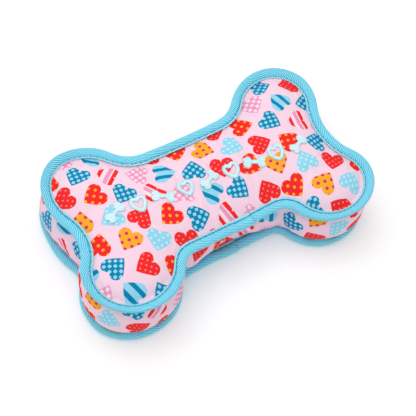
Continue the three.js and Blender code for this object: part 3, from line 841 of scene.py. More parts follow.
def ribs(graph, source):
    """Slanting ribs of a twill tape, which turn back over the fold, on its unrolled width, with
    painted shade and painted highlights on the tape.
    """
    along, across, _ = graph.split(source["Place"])
    from_fold = abs(across - TAPE_HALF)
    off_line = abs(from_fold - STITCH_LINE)
    end = edge.total + LAP_LENGTH
    drift = (graph.noise(source["Place"], 220.0, 2.0) - 0.5) * RIB_DRIFT
    slope = along * math.sin(RIB_ANGLE) + from_fold * math.cos(RIB_ANGLE)
    wave = graph.math("SINE", (slope + drift) / RIB_PITCH * math.tau)
    level = graph.math("MULTIPLY_ADD", wave, 0.5, 0.5)
    yarn = graph.math("SINE", along * (math.tau / TAPE_YARN))
    return (
        graph.math("MULTIPLY_ADD", yarn, 0.12, graph.math("POWER", level, 0.7)),
        # Rib shade: valleys painted darker and crests painted lighter, as painted shade and painted
        # highlight
        graph.between(level, 0.0, 0.6),
        # Painted shade along the stitch groove
        graph.between(off_line, *GROOVE_PAINTED_SHADE, 1.0, 0.0),
        # Painted highlight on the lip beyond the stitch groove
        graph.between(from_fold - STITCH_LINE, *LIP_PAINTED_HIGHLIGHT),
        # Painted shadow at the step of the lapped end
        graph.between(along, end - LAP_END_PAINTED_SHADOW[0], end - LAP_END_PAINTED_SHADOW[1]),
    )


weave_nodes = group("weave", weave, ("Height", "Shade"), Pitch=0.0006)
handling_nodes = group("handling", handling, ["Shade"], Amount=0.06)
print_nodes = group("heart_print", heart_print, ["Color"])
rib_nodes = group("ribs", ribs, ("Height", "Shade", "Seam", "LipHighlight", "End"))


class Finish(Graph):
    """A material with its shader, and the maps of the piece that wears it."""

    def __init__(self, name, roughness, sheen=0.0, specular=0.3):
        self.material = bpy.data.materials.new(name)
        self.material.use_nodes = True
        super().__init__(self.material.node_tree)
        self.shader = self.tree.nodes["Principled BSDF"].inputs
        self.shader["Roughness"].default_value = roughness
        self.shader["Sheen Weight"].default_value = sheen
        self.shader["Sheen Roughness"].default_value = 0.5
        self.shader["Specular IOR Level"].default_value = specular
        places = self.outputs(self.node("ShaderNodeTexCoord"))
        self.map, self.spot = places["UV"], places["Object"]

    def toned(self, base, amount, shade=None):
        """Gives the shader a colour, shaded as handled cloth is."""
        tone = self.use(handling_nodes, Place=self.spot, Amount=amount)["Shade"]
        tone = tone if shade is None else shade * tone
        grey = self.value("ShaderNodeCombineColor", (tone, tone, tone))
        self.join(self.mix(1.0, base, grey, "MULTIPLY"), self.shader["Base Color"])

    def bumped(self, height, distance, strength):
        inputs = {"Strength": strength, "Distance": distance, "Height": height}
        self.join(self.value("ShaderNodeBump", inputs), self.shader["Normal"])
        return self.material


def cloth_material(name, plain, pitch, roughness):
    """Woven cloth, printed where no plain colour is given."""
    made = Finish(name, roughness, sheen=0.02, specular=0.1)
    yarns = made.use(weave_nodes, Place=made.map, Pitch=pitch)
    base = made.use(print_nodes, Place=made.map)["Color"] if plain is None else colour(plain)
    made.toned(base, 0.05, yarns["Shade"])
    return made.bumped(yarns["Height"], 0.00012, 0.5)


# Painted light on the tape, over its ribs: a painted highlight on the lip, painted shade in the
# stitch groove and a painted shadow at the lapped end; for each, by how much and towards which colour
TAPE_PAINTED_LIGHT = (("LipHighlight", 0.45, "c8f8ff"), ("Seam", 0.85, "1680aa"), ("End", 0.6, "2b95bf"))


def tape_material():
    made = Finish("tape_twill", 0.5, sheen=0.02, specular=0.2)
    rib = made.use(rib_nodes, Place=made.map)
    # The rib colour is painted light: darker in the valleys as painted shade, lighter on the crests
    # as painted highlight
    base = made.mix(rib["Shade"], colour("06baf6"), colour("a2f6ff"))
    # Adds the painted highlight on the lip, the painted shade in the groove and the painted shadow at
    # the lapped end
    for part, amount, tint in TAPE_PAINTED_LIGHT:
        base = made.mix(rib[part] * amount, base, colour(tint))
    made.toned(base, 0.10)
    return made.bumped(rib["Height"], 0.00038, 0.9)


def thread_material(name, dark, light, roughness):
    """Twisted thread: fine slanting plies along each stitch, painted lighter on their crests and
    darker between them.
    """
    made = Finish(name, roughness, sheen=0.25, specular=0.5)
    along, across, _ = made.split(made.map)
    wave = made.math("MULTIPLY_ADD", made.math("SINE", along * 2600.0 + across * 6.0), 0.5, 0.5)
    # Painted highlight on the ply crests and painted shade between the plies
    made.toned(made.mix(wave, colour(dark), colour(light)), 0.12)
    return made.bumped(wave, 0.00004, 0.6)


def fibre_material(name, plain, scale, roughness):
    """Loose or pressed fibres that run every way."""
    made = Finish(name, roughness, sheen=0.3)
    shift = made.noise(made.spot, scale * 0.2, 3.0) * (6.0 / scale)
    swirl = made.value("ShaderNodeVectorMath", (made.spot, made.combine(shift, shift, shift)))
    strands = made.noise(swirl, scale, 6.0, 0.75)
    made.toned(colour(plain), 0.08, made.between(strands, 0.3, 0.7, 0.92, 1.0))
    return made.bumped(strands, 0.0006, 0.7)


def plastic_material(name, plain, roughness, grain):
    """Moulded plastic with a faint satin grain and uneven gloss."""
    made = Finish(name, roughness, specular=0.5)
    texture = made.noise(made.spot, grain, 4.0, 0.6)
    made.toned(colour(plain), 0.05)
    gloss = made.between(texture, 0.3, 0.7, roughness - 0.06, roughness + 0.08)
    made.join(gloss, made.shader["Roughness"])
    return made.bumped(texture, 0.00004, 0.4)


# What each slot's pieces are made of, and what their names end with
FINISHES = {
    "printed_cloth": (cloth_material("printed_cloth", None, 0.00045, 0.82), "cloth"),
    "liner_cloth": (cloth_material("liner_canvas", "e9e6e0", 0.0009, 0.9), "canvas"),
    "backing_cloth": (fibre_material("backing_felt", "f7f7f5", 1400.0, 0.95), "felt"),
    "tape_cloth": (tape_material(), "binding"),
    "tape_thread": (thread_material("tape_thread", "3aa8d0", "6ccbe6", 0.55), "thread"),
    "embroidery_thread": (thread_material("motif_thread", "c3ecf6", "e2fafe", 0.42), "satin"),
    "stuffing_fibre": (fibre_material("stuffing_fibre", "fafafa", 700.0, 1.0), "fibre"),
    "bulb_plastic": (plastic_material("bulb_plastic", "f2f2ee", 0.45, 900.0), "shell"),
    "reed_plastic": (plastic_material("reed_plastic", "d8dde0", 0.32, 1500.0), "shell"),
}


def finished(name, mesh, slot, body="toy_body"):
    """Puts a mesh in the scene as the finished form of a node."""
    material, ending = FINISHES[slot]
    piece = placed(f"{name}_{ending}", mesh)
    mesh.materials.clear()
    mesh.materials.append(material)
    mesh.shade_smooth()
    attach(piece, body)
    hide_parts(name)
    return piece


def thickened(piece, thickness):
    wall = piece.modifiers.new("thickness", "SOLIDIFY")
    wall.thickness = thickness
    wall.offset = -1
    wall.use_even_offset = False
    return piece


def sewn_cloth(name, mesh, slot, thickness):
    return thickened(finished(name, mesh, slot), thickness)


def skin(name, columns, rows, shape, unroll=None, closed=True, facing="up"):
    """A grid bent to shape: shape and unroll take the share round and the row number."""
    bm = bmesh.new()
    bmesh.ops.create_grid(bm, x_segments=columns, y_segments=rows, size=0.5, calc_uvs=True)
    flat = np.array([v.co[:2] for v in bm.verts])
    shares = (flat - flat.min(0)) / np.ptp(flat, 0)
    round_share = shares[:, 0]
    row = np.rint(shares[:, 1] * rows).astype(int)
    place = np.stack(np.broadcast_arrays(*shape(round_share, row)), 1)
    chart = place[:, :2] if unroll is None else np.stack(unroll(round_share, row), 1)
    uv = bm.loops.layers.uv.verify()
    for vert, spot, flat_spot in zip(bm.verts, place, chart):
        vert.co = spot
        for loop in vert.link_loops:
            loop[uv].uv = flat_spot
    if closed:
        bmesh.ops.remove_doubles(bm, verts=bm.verts, dist=1e-6)
    thin = [face for face in bm.faces if face.calc_area() < 1e-12]
    bmesh.ops.delete(bm, geom=thin, context="FACES")
    if facing == "down":
        bmesh.ops.reverse_faces(bm, faces=bm.faces)
    if facing == "out":
        bmesh.ops.recalc_face_normals(bm, faces=bm.faces)
    return mesh_of(name, bm)


def emboss(mesh, heights):
    """Moves each corner of a mesh along its own normal."""
    normals = np.zeros(len(mesh.vertices) * 3)
    mesh.vertex_normals.foreach_get("vector", normals)
    spots = spots_of(mesh) + normals.reshape(-1, 3) * heights[:, None]
    mesh.vertices.foreach_set("co", spots.ravel())
    mesh.update()


# Panels
PANEL_COLUMNS = 480
FLANGE_REACH = (-0.0062, -0.0040, -0.0015, 0.0)
SHOULDER_REACH = (0.0008, 0.0016, 0.0024, SHOULDER)
LINER_REACH = (LINER_INSET - SEAM_INSET, 0.0016, 0.0024, SHOULDER)
MIDDLE_ROWS = 26
MIDDLE_X = 0.0658
TOWARDS_WAIST_SHARE = 0.85
PUCKER = 0.00032
PUCKER_PITCH = 0.0065
PUCKER_REACH = 0.0075
PUCKER_DRIFT = (6, 0.02, 4.2)
PUCKER_CHANGE = (1.6, 0.03, 9.7)


def half_way(share):
    """The length along the outline at a share round it, with front and back paired."""
    front = share * 2 * edge.half
    back = edge.half + (share - 0.5) * 2 * (edge.total - edge.half)
    return np.where(share < 0.5, front, back)


def middle_x(share):
    """Where a line from the outline meets the middle line of a panel."""
    x = (edge.at(half_way(share))[0] + edge.at(half_way(np.mod(1 - share, 1)))[0]) / 2
    return np.clip(TOWARDS_WAIST_SHARE * x, -MIDDLE_X, MIDDLE_X)


def panel_spot(share, row, reaches, tilt=upper_tilt):
    """Place of a panel's corner: rows step in from the seam, then on to the middle line."""
    steps = np.array(reaches)
    reach = steps[np.minimum(row, len(steps) - 1)]
    s = half_way(share)
    seam = SEAM_INSET * np.cos(tilt(edge.at(s)[4]))
    x, y = edge.place(s, seam + reach)
    inward = np.clip((row - len(steps) + 1) / MIDDLE_ROWS, 0, 1)
    return x + inward * (middle_x(share) - x), y * (1 - inward)


def panel_mesh(name, height, reaches, tilt=upper_tilt, first=0):
    """A panel from its seam, or from a later row, to its middle line. The lower ones face down."""

    def shape(share, row):
        x, y = panel_spot(share, row + first, reaches, tilt)
        return x, y, height(x, y)

    rows = len(reaches) - 1 + MIDDLE_ROWS - first
    facing = "up" if tilt is upper_tilt else "down"
    return skin(name, PANEL_COLUMNS, rows, shape, facing=facing)


def top_panel():
    """The printed top, with small ripples square to the seam that die out away from it."""
    mesh = panel_mesh("top_panel", top_face, FLANGE_REACH + SHOULDER_REACH)
    x, y, _ = spots_of(mesh).T
    gap = seam_gap(x, y)[0]
    s = edge.nearest(x, y)
    ripple = np.sin(s / PUCKER_PITCH * math.tau + wobble(s, *PUCKER_DRIFT))
    strength = 0.35 + 0.65 * np.abs(wobble(s, *PUCKER_CHANGE))
    fade = np.exp(-np.maximum(gap, 0) / PUCKER_REACH) * smooth(gap, 0, 0.0015)
    emboss(mesh, PUCKER * ripple * strength * fade)
    return sewn_cloth("top_panel", mesh, "printed_cloth", CLOTH)


# Side strip. Its waves, like those of the panels, have a size, a reach and a seed
SIDE_COLUMNS = 620
SIDE_ROWS = 26
SIDE_FLANGE = 0.0062
SIDE_FLANGE_ROWS = 3
SIDE_RIPPLE_PITCH = 0.0078
SIDE_RIPPLE_WAIST = 0.00015
SIDE_RIPPLE_LOBE = 0.00035
SIDE_RIPPLE_REACH = 0.16
SIDE_RIPPLE_GROWS = (0.05, 0.08)
SIDE_RIPPLE_DRIFT = (7, 0.025, 6.3)
SIDE_UNEVEN = (0.0006, 0.03, 2.2)
SIDE_LINER_ROWS = 20
SIDE_LINER_MARGIN = 0.01


def close_to_seams(share):
    """Evenly spaced rows of a wall, moved towards its two seams, where it bends most."""
    return 0.5 - 0.5 * np.cos(math.pi * share)


def side_strip():
    start = edge.front_at(SIDE_JOIN_X + JOIN_GAP / 2)
    length = edge.total - JOIN_GAP
    wall_rows = SIDE_ROWS - 2 * SIDE_FLANGE_ROWS

    def shape(share, row):
        level = close_to_seams(np.clip((row - SIDE_FLANGE_ROWS) / wall_rows, 0, 1))
        low = np.clip(SIDE_FLANGE_ROWS - row, 0, None) / SIDE_FLANGE_ROWS
        high = np.clip(row - SIDE_ROWS + SIDE_FLANGE_ROWS, 0, None) / SIDE_FLANGE_ROWS
        return wall_spot(start + share * length, level, SEAM_INSET, (low + high) * SIDE_FLANGE)

    def unroll(share, row):
        grid = np.stack(shape(share, row), 1).reshape(SIDE_ROWS + 1, SIDE_COLUMNS + 1, 3)
        steps = np.linalg.norm(np.diff(grid, axis=0), axis=2)
        up = np.vstack([np.zeros((1, SIDE_COLUMNS + 1)), np.cumsum(steps, 0)])
        return start + share * length, up.ravel()

    mesh = skin("side_strip", SIDE_COLUMNS, SIDE_ROWS, shape, unroll, closed=False)
    x, y, z = spots_of(mesh).T
    s = edge.nearest(x, y)
    x0, y0, _, _, swell = edge.at(s)
    low = BOTTOM_PLANE + CLOTH_UPPER
    high = upper_fold(x0, y0) - SEAM_INSET * np.sin(upper_tilt(swell)) - CLOTH_UPPER
    share = (z - low) / (high - low)
    bow = np.sin(math.pi * np.clip(share, 0, 1))
    ripple = np.sin(s / SIDE_RIPPLE_PITCH * math.tau + wobble(s, *SIDE_RIPPLE_DRIFT))
    near_seam = np.exp(-np.minimum(share, 1 - share) / SIDE_RIPPLE_REACH) * bow**0.5
    lobe = smooth(np.abs(x0), *SIDE_RIPPLE_GROWS)
    size = SIDE_RIPPLE_WAIST + (SIDE_RIPPLE_LOBE - SIDE_RIPPLE_WAIST) * lobe
    emboss(mesh, size * ripple * near_seam + wobble(s, *SIDE_UNEVEN) * bow)
    return sewn_cloth("side_strip", mesh, "printed_cloth", CLOTH)


def side_liner():
    def shape(share, row):
        level = close_to_seams(row / SIDE_LINER_ROWS)
        level = SIDE_LINER_MARGIN + (1 - 2 * SIDE_LINER_MARGIN) * level
        return wall_spot(share * edge.total, level, LINER_INSET)

    def unroll(share, row):
        return share * edge.total, row / SIDE_LINER_ROWS * SEAM_HEIGHT

    mesh = skin("side_liner", SIDE_COLUMNS, SIDE_LINER_ROWS, shape, unroll)
    return sewn_cloth("side_liner", mesh, "liner_cloth", LINER)


# Bound tapes and their stitches: fold, tilt and spread of each seam
UPPER_SEAM = (upper_fold, upper_tilt, nothing)
LOWER_SEAM = (flat_fold, nothing, bottom_grow)
STITCH_LENGTH = 0.0030
STITCH_PITCH = 0.0036
STITCH_RADIUS = 0.00034
STITCH_LIFT = 0.0002


def bound_tape(name, join_x, seam, seed):
    plane, tilt, spread = seam
    inset, height, across = tape_section()
    start = edge.front_at(join_x)
    length = edge.total + LAP_LENGTH
    ramp_end = edge.total - JOIN_GAP

    def shape(share, row):
        run = share * length
        s = start + run
        end_round = np.sqrt(1 - (1 - np.clip((length - run) / LAP_ROUND, 0.05, 1)) ** 2)
        lap = LAP_STEP * smooth(run, ramp_end - LAP_RAMP, ramp_end) * end_round
        sway = wobble(s, *TAPE_SWAY, seed)
        lean = wobble(s, *TAPE_LEAN, seed + 3)
        fade = 1 - inset[row] / TAPE_SHOWN
        across_in = inset[row] - lap * np.where(inset[row] > 0.98 * TAPE_SHOWN, 0, 1)
        above = height[row] + np.sign(height[row]) * lap
        turn = tilt(edge.at(s)[4])
        reach = across_in * np.cos(turn) - above * np.sin(turn)
        x, y = edge.place(s, reach - spread(s) - sway * fade)
        return x, y, plane(x, y) - across_in * np.sin(turn) + above * np.cos(turn) + lean * fade

    def unroll(share, row):
        return share * length, across[row]

    mesh = skin(name, TAPE_COLUMNS, TAPE_ROWS, shape, unroll, closed=False)
    rows, columns = np.divmod(np.arange(len(mesh.vertices)), TAPE_COLUMNS + 1)
    run = columns / TAPE_COLUMNS * length
    from_fold = np.abs(across[rows] - across[-1] / 2)
    phase = (run * math.sin(RIB_ANGLE) + from_fold * math.cos(RIB_ANGLE)) / RIB_PITCH
    drift = wobble(start + run, *TAPE_PUCKER_DRIFT, seed + 5)
    pucker = np.sin(run / TAPE_PUCKER_PITCH * math.tau + drift)
    inner = smooth(from_fold, 0.5 * TAPE_SHOWN, TAPE_SHOWN)
    emboss(mesh, RIB_RISE * np.sin(phase * math.tau) + TAPE_PUCKER * inner * pucker)
    return thickened(finished(name, mesh, "tape_cloth"), TAPE)


def stitch_row(name, join_x, seam, side):
    """The row of stitches that holds a tape, each a short run of thread in the groove."""
    plane, tilt, spread = seam
    bm = bmesh.new()
    count = round(edge.total / STITCH_PITCH)
    lap_start = edge.front_at(join_x) - LAP_RAMP
    for k in range(count):
        s = (k + 0.5) * edge.total / count
        run = (s - lap_start) % edge.total
        lap = float(smooth(run, 0, LAP_RAMP) * (run < LAP_RAMP + LAP_LENGTH))
        turn = float(tilt(edge.at(s)[4]))
        level = side * (TAPE_LIP_HEIGHT - STITCH_GROOVE + STITCH_LIFT + LAP_STEP * lap)
        reach = STITCH_INSET * math.cos(turn) - level * math.sin(turn) - spread(s)
        drop = STITCH_INSET * math.sin(turn) - level * math.cos(turn)
        ends = []
        for shift in (-STITCH_LENGTH / 2, STITCH_LENGTH / 2):
            x, y = edge.place(s + shift, reach)
            ends.append(Vector((x, y, plane(x, y) - drop)))
        ahead = ends[1] - ends[0]
        aim = ahead.to_track_quat("X", "Z").to_matrix().to_4x4()
        size = Matrix.Diagonal((ahead.length / 2, STITCH_RADIUS, STITCH_RADIUS, 1))
        spot = Matrix.Translation((ends[0] + ends[1]) / 2) @ aim @ size
        bmesh.ops.create_uvsphere(
            bm, u_segments=6, v_segments=5, radius=1, matrix=spot, calc_uvs=True
        )
    return finished(name, mesh_of(name, bm), "tape_thread")


# Embroidery
MOTIF_COUNT = 9
MOTIF_PITCH = 0.019
MOTIF_ROW_SLOPE = 0.08
BONE_LENGTH = 0.017
BONE_WIDTH = 0.010
BONE_SHAFT = 0.0036
BONE_KNOB_SHARE = 0.3
BONE_TILT = math.radians(28)
HEART_WIDTH = 0.014
HEART_STROKE = 0.0032
HEART_TIP_SHARE = 0.55
YARN = 0.00042
THREAD_STEPS = 7
THREAD_SIDES = 6
THREAD_RADIUS = YARN * 0.62
THREAD_STRAY = 0.00008
SATIN_HEIGHT = 0.00095
SATIN_FULL_SPAN = 0.0034
KNOB_POINTS = 24
CURVE_POINTS = 60


def bone_outline():
    radius = BONE_KNOB_SHARE * BONE_WIDTH
    knob_x = BONE_LENGTH / 2 - radius
    knob_y = BONE_WIDTH / 2 - radius
    cleft = math.asin(knob_y / radius)
    shaft = math.asin((BONE_SHAFT / 2 - knob_y) / radius)
    angles = np.linspace(-cleft, math.pi - shaft, KNOB_POINTS)
    knob = np.stack([knob_x + radius * np.cos(angles), knob_y + radius * np.sin(angles)], 1)
    half = np.vstack([knob, (knob * (-1, 1))[::-1]])
    return np.vstack([half, -half])


def bone_stitches():
    """Threads laid side by side across a bone, from edge to edge."""
    points = bone_outline()
    ahead = np.roll(points, -1, 0)
    stitches = []
    for x in np.arange(-BONE_LENGTH / 2 + YARN / 2, BONE_LENGTH / 2, YARN * 0.85):
        crosses = (points[:, 0] - x) * (ahead[:, 0] - x) < 0
        near, far = points[crosses], ahead[crosses]
        share = (x - near[:, 0]) / (far[:, 0] - near[:, 0])
        found = np.sort(near[:, 1] + share * (far[:, 1] - near[:, 1]))
        for low, high in zip(found[::2], found[1::2]):
            if high - low > YARN:
                stitches.append(((x, low), (x, high)))
    return stitches


def heart_stitches():
    """Threads laid across the stroke of an open heart, all the way round."""
    width = HEART_WIDTH - HEART_STROKE
    count = round(3.05 * width / (YARN * 0.8))
    radius = width / 4
    tip = -HEART_TIP_SHARE * width
    t = np.linspace(0, 1, CURVE_POINTS)[:-1, None]

    def curve(a, b, c):
        return (1 - t) ** 2 * np.array(a) + 2 * t * (1 - t) * np.array(b) + t**2 * np.array(c)

    angles = t[:, 0] * math.pi
    lobe = np.stack([np.cos(angles), np.sin(angles)], 1) * radius
    right = curve((0, tip), (width / 2, tip / 3), (width / 2, radius))
    left = curve((-width / 2, radius), (-width / 2, tip / 3), (0, tip))
    path = np.vstack([right, lobe + (radius, radius), lobe + (-radius, radius), left, right[:1]])
    run = run_along(path)
    even = np.arange(count) / count * run[-1]
    spots = np.stack([np.interp(even, run, path[:, k]) for k in (0, 1)], 1)
    ahead = np.roll(spots, -2, 0) - np.roll(spots, 2, 0)
    ahead /= np.linalg.norm(ahead, axis=1)[:, None]
    reach = np.stack([ahead[:, 1], -ahead[:, 0]], 1) * HEART_STROKE / 2
    return np.stack([spots - reach, spots + reach], 1)


def motif(index):
    """One embroidered motif: satin stitches that stand proud of the cloth and round over."""
    bone = index % 2 == 0
    name = f"embroidered_{'bone' if bone else 'heart'}_{index // 2 + 1}"
    stitches = bone_stitches() if bone else heart_stitches()
    turn = (BONE_TILT if index % 4 == 0 else -BONE_TILT) if bone else 0.0
    centre_x = (index - (MOTIF_COUNT - 1) / 2) * MOTIF_PITCH
    centre = np.array([centre_x, -centre_x * MOTIF_ROW_SLOPE])
    spin = np.array([[math.cos(turn), -math.sin(turn)], [math.sin(turn), math.cos(turn)]])
    ends = np.array(stitches) @ spin.T + centre
    rng = np.random.default_rng(40 + index)
    ends += rng.normal(0, THREAD_STRAY, ends.shape)
    shares = np.linspace(0, 1, THREAD_STEPS)
    spots = ends[:, :1] + shares[None, :, None] * (ends[:, 1:] - ends[:, :1])
    ground = top_face(spots[:, :, 0], spots[:, :, 1])
    span = np.linalg.norm(ends[:, 1] - ends[:, 0], axis=1)
    arch = np.sin(math.pi * (0.04 + 0.92 * shares)) ** 0.6
    full = np.clip(span / SATIN_FULL_SPAN, 0.45, 1.0)[:, None] * SATIN_HEIGHT
    height = ground + YARN * 0.2 + full * arch[None, :]
    bm = bmesh.new()
    for k in range(len(ends)):
        add_thread(bm, [Vector((*spots[k, i], height[k, i])) for i in range(THREAD_STEPS)])
    bmesh.ops.remove_doubles(bm, verts=bm.verts, dist=1e-6)
    return finished(name, mesh_of(name, bm), "embroidery_thread")


def add_thread(bm, path):
    """A tube of thread along a path, drawn in at both ends."""
    last = THREAD_STEPS - 1
    made = bmesh.ops.create_grid(
        bm, x_segments=THREAD_SIDES, y_segments=last, size=0.5, calc_uvs=True
    )
    span = path[-1] - path[0]
    side = span.normalized().cross(Vector((0, 0, 1))).normalized()
    rise = side.cross(span.normalized())
    uv = bm.loops.layers.uv.verify()
    for vert in made["verts"]:
        angle = (vert.co.x + 0.5) * math.tau
        step = round((vert.co.y + 0.5) * last)
        size = THREAD_RADIUS * (0.25 if step in (0, last) else 1.0)
        for loop in vert.link_loops:
            loop[uv].uv = (span.length * step / last, angle / math.tau)
        vert.co = path[step] + size * (math.cos(angle) * side - math.sin(angle) * rise)


# Layers under the cover
BACKING_GAP = -0.00015
LINER_GAP = BACKING_GAP - BACKING - CLEARANCE
FILL_GAP = LINER_GAP - LINER - CLEARANCE


def under_top(offset):
    return lambda x, y: top_face(x, y) - CLOTH_UPPER + offset


def over_bottom(offset):
    return lambda x, y: bottom_face(x, y) + offset


def backing_patch():
    name = "embroidery_backing"
    mesh = panel_mesh(name, under_top(BACKING_GAP), (SHOULDER,), first=MIDDLE_ROWS // 2)
    return thickened(finished(name, mesh, "backing_cloth"), BACKING)


# Stuffing and squeaker
MIDDLE_HEIGHT = 0.02275
SQUEAKER_FLOOR = 0.01075
SQUEAKER_RADIUS = 0.022
SQUEAKER_HEIGHT = 0.024
SQUEAKER_WALL = 0.0012
SQUEAKER_NECK = 0.0175
BELLOWS_FOLDS = 2
CROWN_RADIUS = 0.019
CROWN_DOME = 0.004
CROWN_SKIRT = 0.0024
BASE_RIM = 0.0036
REED_TUBE_RADIUS = 0.005
REED_BORE = 0.0034
REED_TUBE_HEIGHT = 0.009
REED_FLANGE_RADIUS = 0.0075
REED_FLANGE = 0.0014
ROUND_SEGMENTS = 72
BASE_BEVEL = 0.0004
CROWN_BEVEL = 0.0005
BELLOWS_BEVEL = 0.0006
TUBE_BEVEL = 0.0002
FILL_WALL_ROWS = 12
FILL_SLACK = 0.0006
FILL_REACH = (FILL_INSET - SEAM_INSET + FILL_SLACK, SHOULDER)


def stuffing(name, upper):
    """Half of the stuffing, with a lumpy face and a pocket for the squeaker."""
    face_rows = len(FILL_REACH) - 1 + MIDDLE_ROWS
    rows = 2 * face_rows + FILL_WALL_ROWS
    side = 1 if upper else -1
    middle = MIDDLE_HEIGHT + HALF_GAP * side
    face = under_top(FILL_GAP) if upper else over_bottom(CLOTH + LINER + 2 * CLEARANCE)
    tilt = upper_tilt if upper else nothing

    def shape(share, row):
        outer_row = np.clip(face_rows - row, 0, face_rows)
        inner_row = np.clip(row - face_rows - FILL_WALL_ROWS, 0, face_rows)
        on_face = row <= face_rows
        on_wall = ~on_face & (row <= face_rows + FILL_WALL_ROWS)
        x, y = panel_spot(share, np.where(on_face, outer_row, inner_row), FILL_REACH, tilt)
        down = np.clip((row - face_rows) / FILL_WALL_ROWS, 0, 1)
        level = 0.5 + 0.5 * np.cos(math.pi / 2 * down) * side
        wall_x, wall_y, wall_z = wall_spot(half_way(share), level, FILL_INSET)
        rim_x, rim_y, rim_z = wall_spot(half_way(share), 0 * down + 0.5, FILL_INSET)
        base_x, base_y = panel_spot(share, np.zeros_like(row), FILL_REACH, tilt)
        spread = 1 - inner_row / face_rows
        flat_x, flat_y = x + spread * (rim_x - base_x), y + spread * (rim_y - base_y)
        x = np.select([on_face, on_wall], [x, wall_x], flat_x)
        y = np.select([on_face, on_wall], [y, wall_y], flat_y)
        wall_z = wall_z + down**2 * (middle - rim_z)
        return x, y, np.select([on_face, on_wall], [face(x, y), wall_z], middle)

    mesh = skin(name, PANEL_COLUMNS // 2, rows, shape, facing="out")
    piece = finished(name, mesh, "stuffing_fibre")
    hollow(piece)
    return piece


def hollow(piece):
    """Cuts the squeaker's pocket out of a piece of stuffing."""
    low = SQUEAKER_FLOOR - REED_FLANGE - 2 * CLEARANCE
    high = SQUEAKER_FLOOR + SQUEAKER_HEIGHT + CLEARANCE
    radius = SQUEAKER_RADIUS + CLEARANCE
    bm = bmesh.new()
    bmesh.ops.create_cone(
        bm, cap_ends=True, segments=ROUND_SEGMENTS, radius1=radius, radius2=radius,
        depth=high - low, matrix=Matrix.Translation((0, 0, (low + high) / 2)),
    )
    mesh = mesh_of("pocket", bm)
    cutter = placed("pocket", mesh)
    trim = piece.modifiers.new("pocket", "BOOLEAN")
    trim.operation = "DIFFERENCE"
    trim.solver = "EXACT"
    trim.object = cutter
    ready = bpy.context.evaluated_depsgraph_get()
    shaped = bpy.data.meshes.new_from_object(piece.evaluated_get(ready))
    piece.modifiers.clear()
    piece.data = shaped
    bpy.data.objects.remove(cutter)
    bpy.data.meshes.remove(mesh)


def round_piece(name, profile, bevel, slot, body="toy_body"):
    """A round piece spun from its closed profile, with its edges eased."""
    bm = bmesh.new()
    verts = [bm.verts.new((radius, 0, SQUEAKER_FLOOR + height)) for radius, height in profile]
    edges = [bm.edges.new((verts[i - 1], verts[i])) for i in range(len(verts))]
    bmesh.ops.spin(
        bm, geom=verts + edges, cent=(0, 0, 0), axis=(0, 0, 1), angle=math.tau,
        steps=ROUND_SEGMENTS, use_merge=True,
    )
    bmesh.ops.remove_doubles(bm, verts=bm.verts, dist=1e-6)
    bmesh.ops.recalc_face_normals(bm, faces=bm.faces)
    piece = finished(name, mesh_of(name, bm), slot, body)
    ease = piece.modifiers.new("eased_edges", "BEVEL")
    ease.width = bevel
    ease.segments = 3
    ease.limit_method = "ANGLE"
    ease.angle_limit = math.radians(20)
    return piece


def squeaker():
    wall = SQUEAKER_WALL
    hole = REED_TUBE_RADIUS + CLEARANCE
    inner = CROWN_RADIUS - wall
    wide = SQUEAKER_RADIUS - CLEARANCE
    shoulder = SQUEAKER_HEIGHT - CROWN_DOME
    skirt = shoulder - CROWN_SKIRT
    dome = SQUEAKER_HEIGHT - CROWN_DOME / 4
    round_piece("squeaker_base", [
        (hole, 0), (CROWN_RADIUS, 0), (SQUEAKER_RADIUS, wall), (SQUEAKER_RADIUS, BASE_RIM),
        (CROWN_RADIUS, BASE_RIM), (CROWN_RADIUS, 2 * wall), (inner, wall), (hole, wall),
    ], BASE_BEVEL, "bulb_plastic")
    round_piece("squeaker_crown", [
        (0, SQUEAKER_HEIGHT - wall), (CROWN_RADIUS / 2, dome - wall), (inner, shoulder),
        (inner, skirt), (wide, skirt), (wide, skirt + wall), (CROWN_RADIUS, shoulder),
        (CROWN_RADIUS / 2, dome), (0, SQUEAKER_HEIGHT),
    ], CROWN_BEVEL, "bulb_plastic", "crown")
    low = BASE_RIM + CLEARANCE
    high = skirt - CLEARANCE
    outer = []
    for i in range(2 * BELLOWS_FOLDS + 1):
        radius = wide if i % 2 == 0 else SQUEAKER_NECK
        outer.append((radius, low + (high - low) * i / (2 * BELLOWS_FOLDS)))
    back = [(radius - 2 * wall, height) for radius, height in reversed(outer)]
    bellows = round_piece("squeaker_bellows", outer + back, BELLOWS_BEVEL, "bulb_plastic")
    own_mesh(bellows)
    base = -CLEARANCE - REED_FLANGE
    round_piece("reed_tube", [
        (REED_BORE, base), (REED_FLANGE_RADIUS, base), (REED_FLANGE_RADIUS, -CLEARANCE),
        (REED_TUBE_RADIUS, -CLEARANCE), (REED_TUBE_RADIUS, REED_TUBE_HEIGHT),
        (REED_BORE, REED_TUBE_HEIGHT),
    ], TUBE_BEVEL, "reed_plastic")
    for name in ("reed_seat", "reed", "reed_clamp"):
        node = frame["nodes"][name]
        node.data.materials.clear()
        node.data.materials.append(FINISHES["reed_plastic"][0])


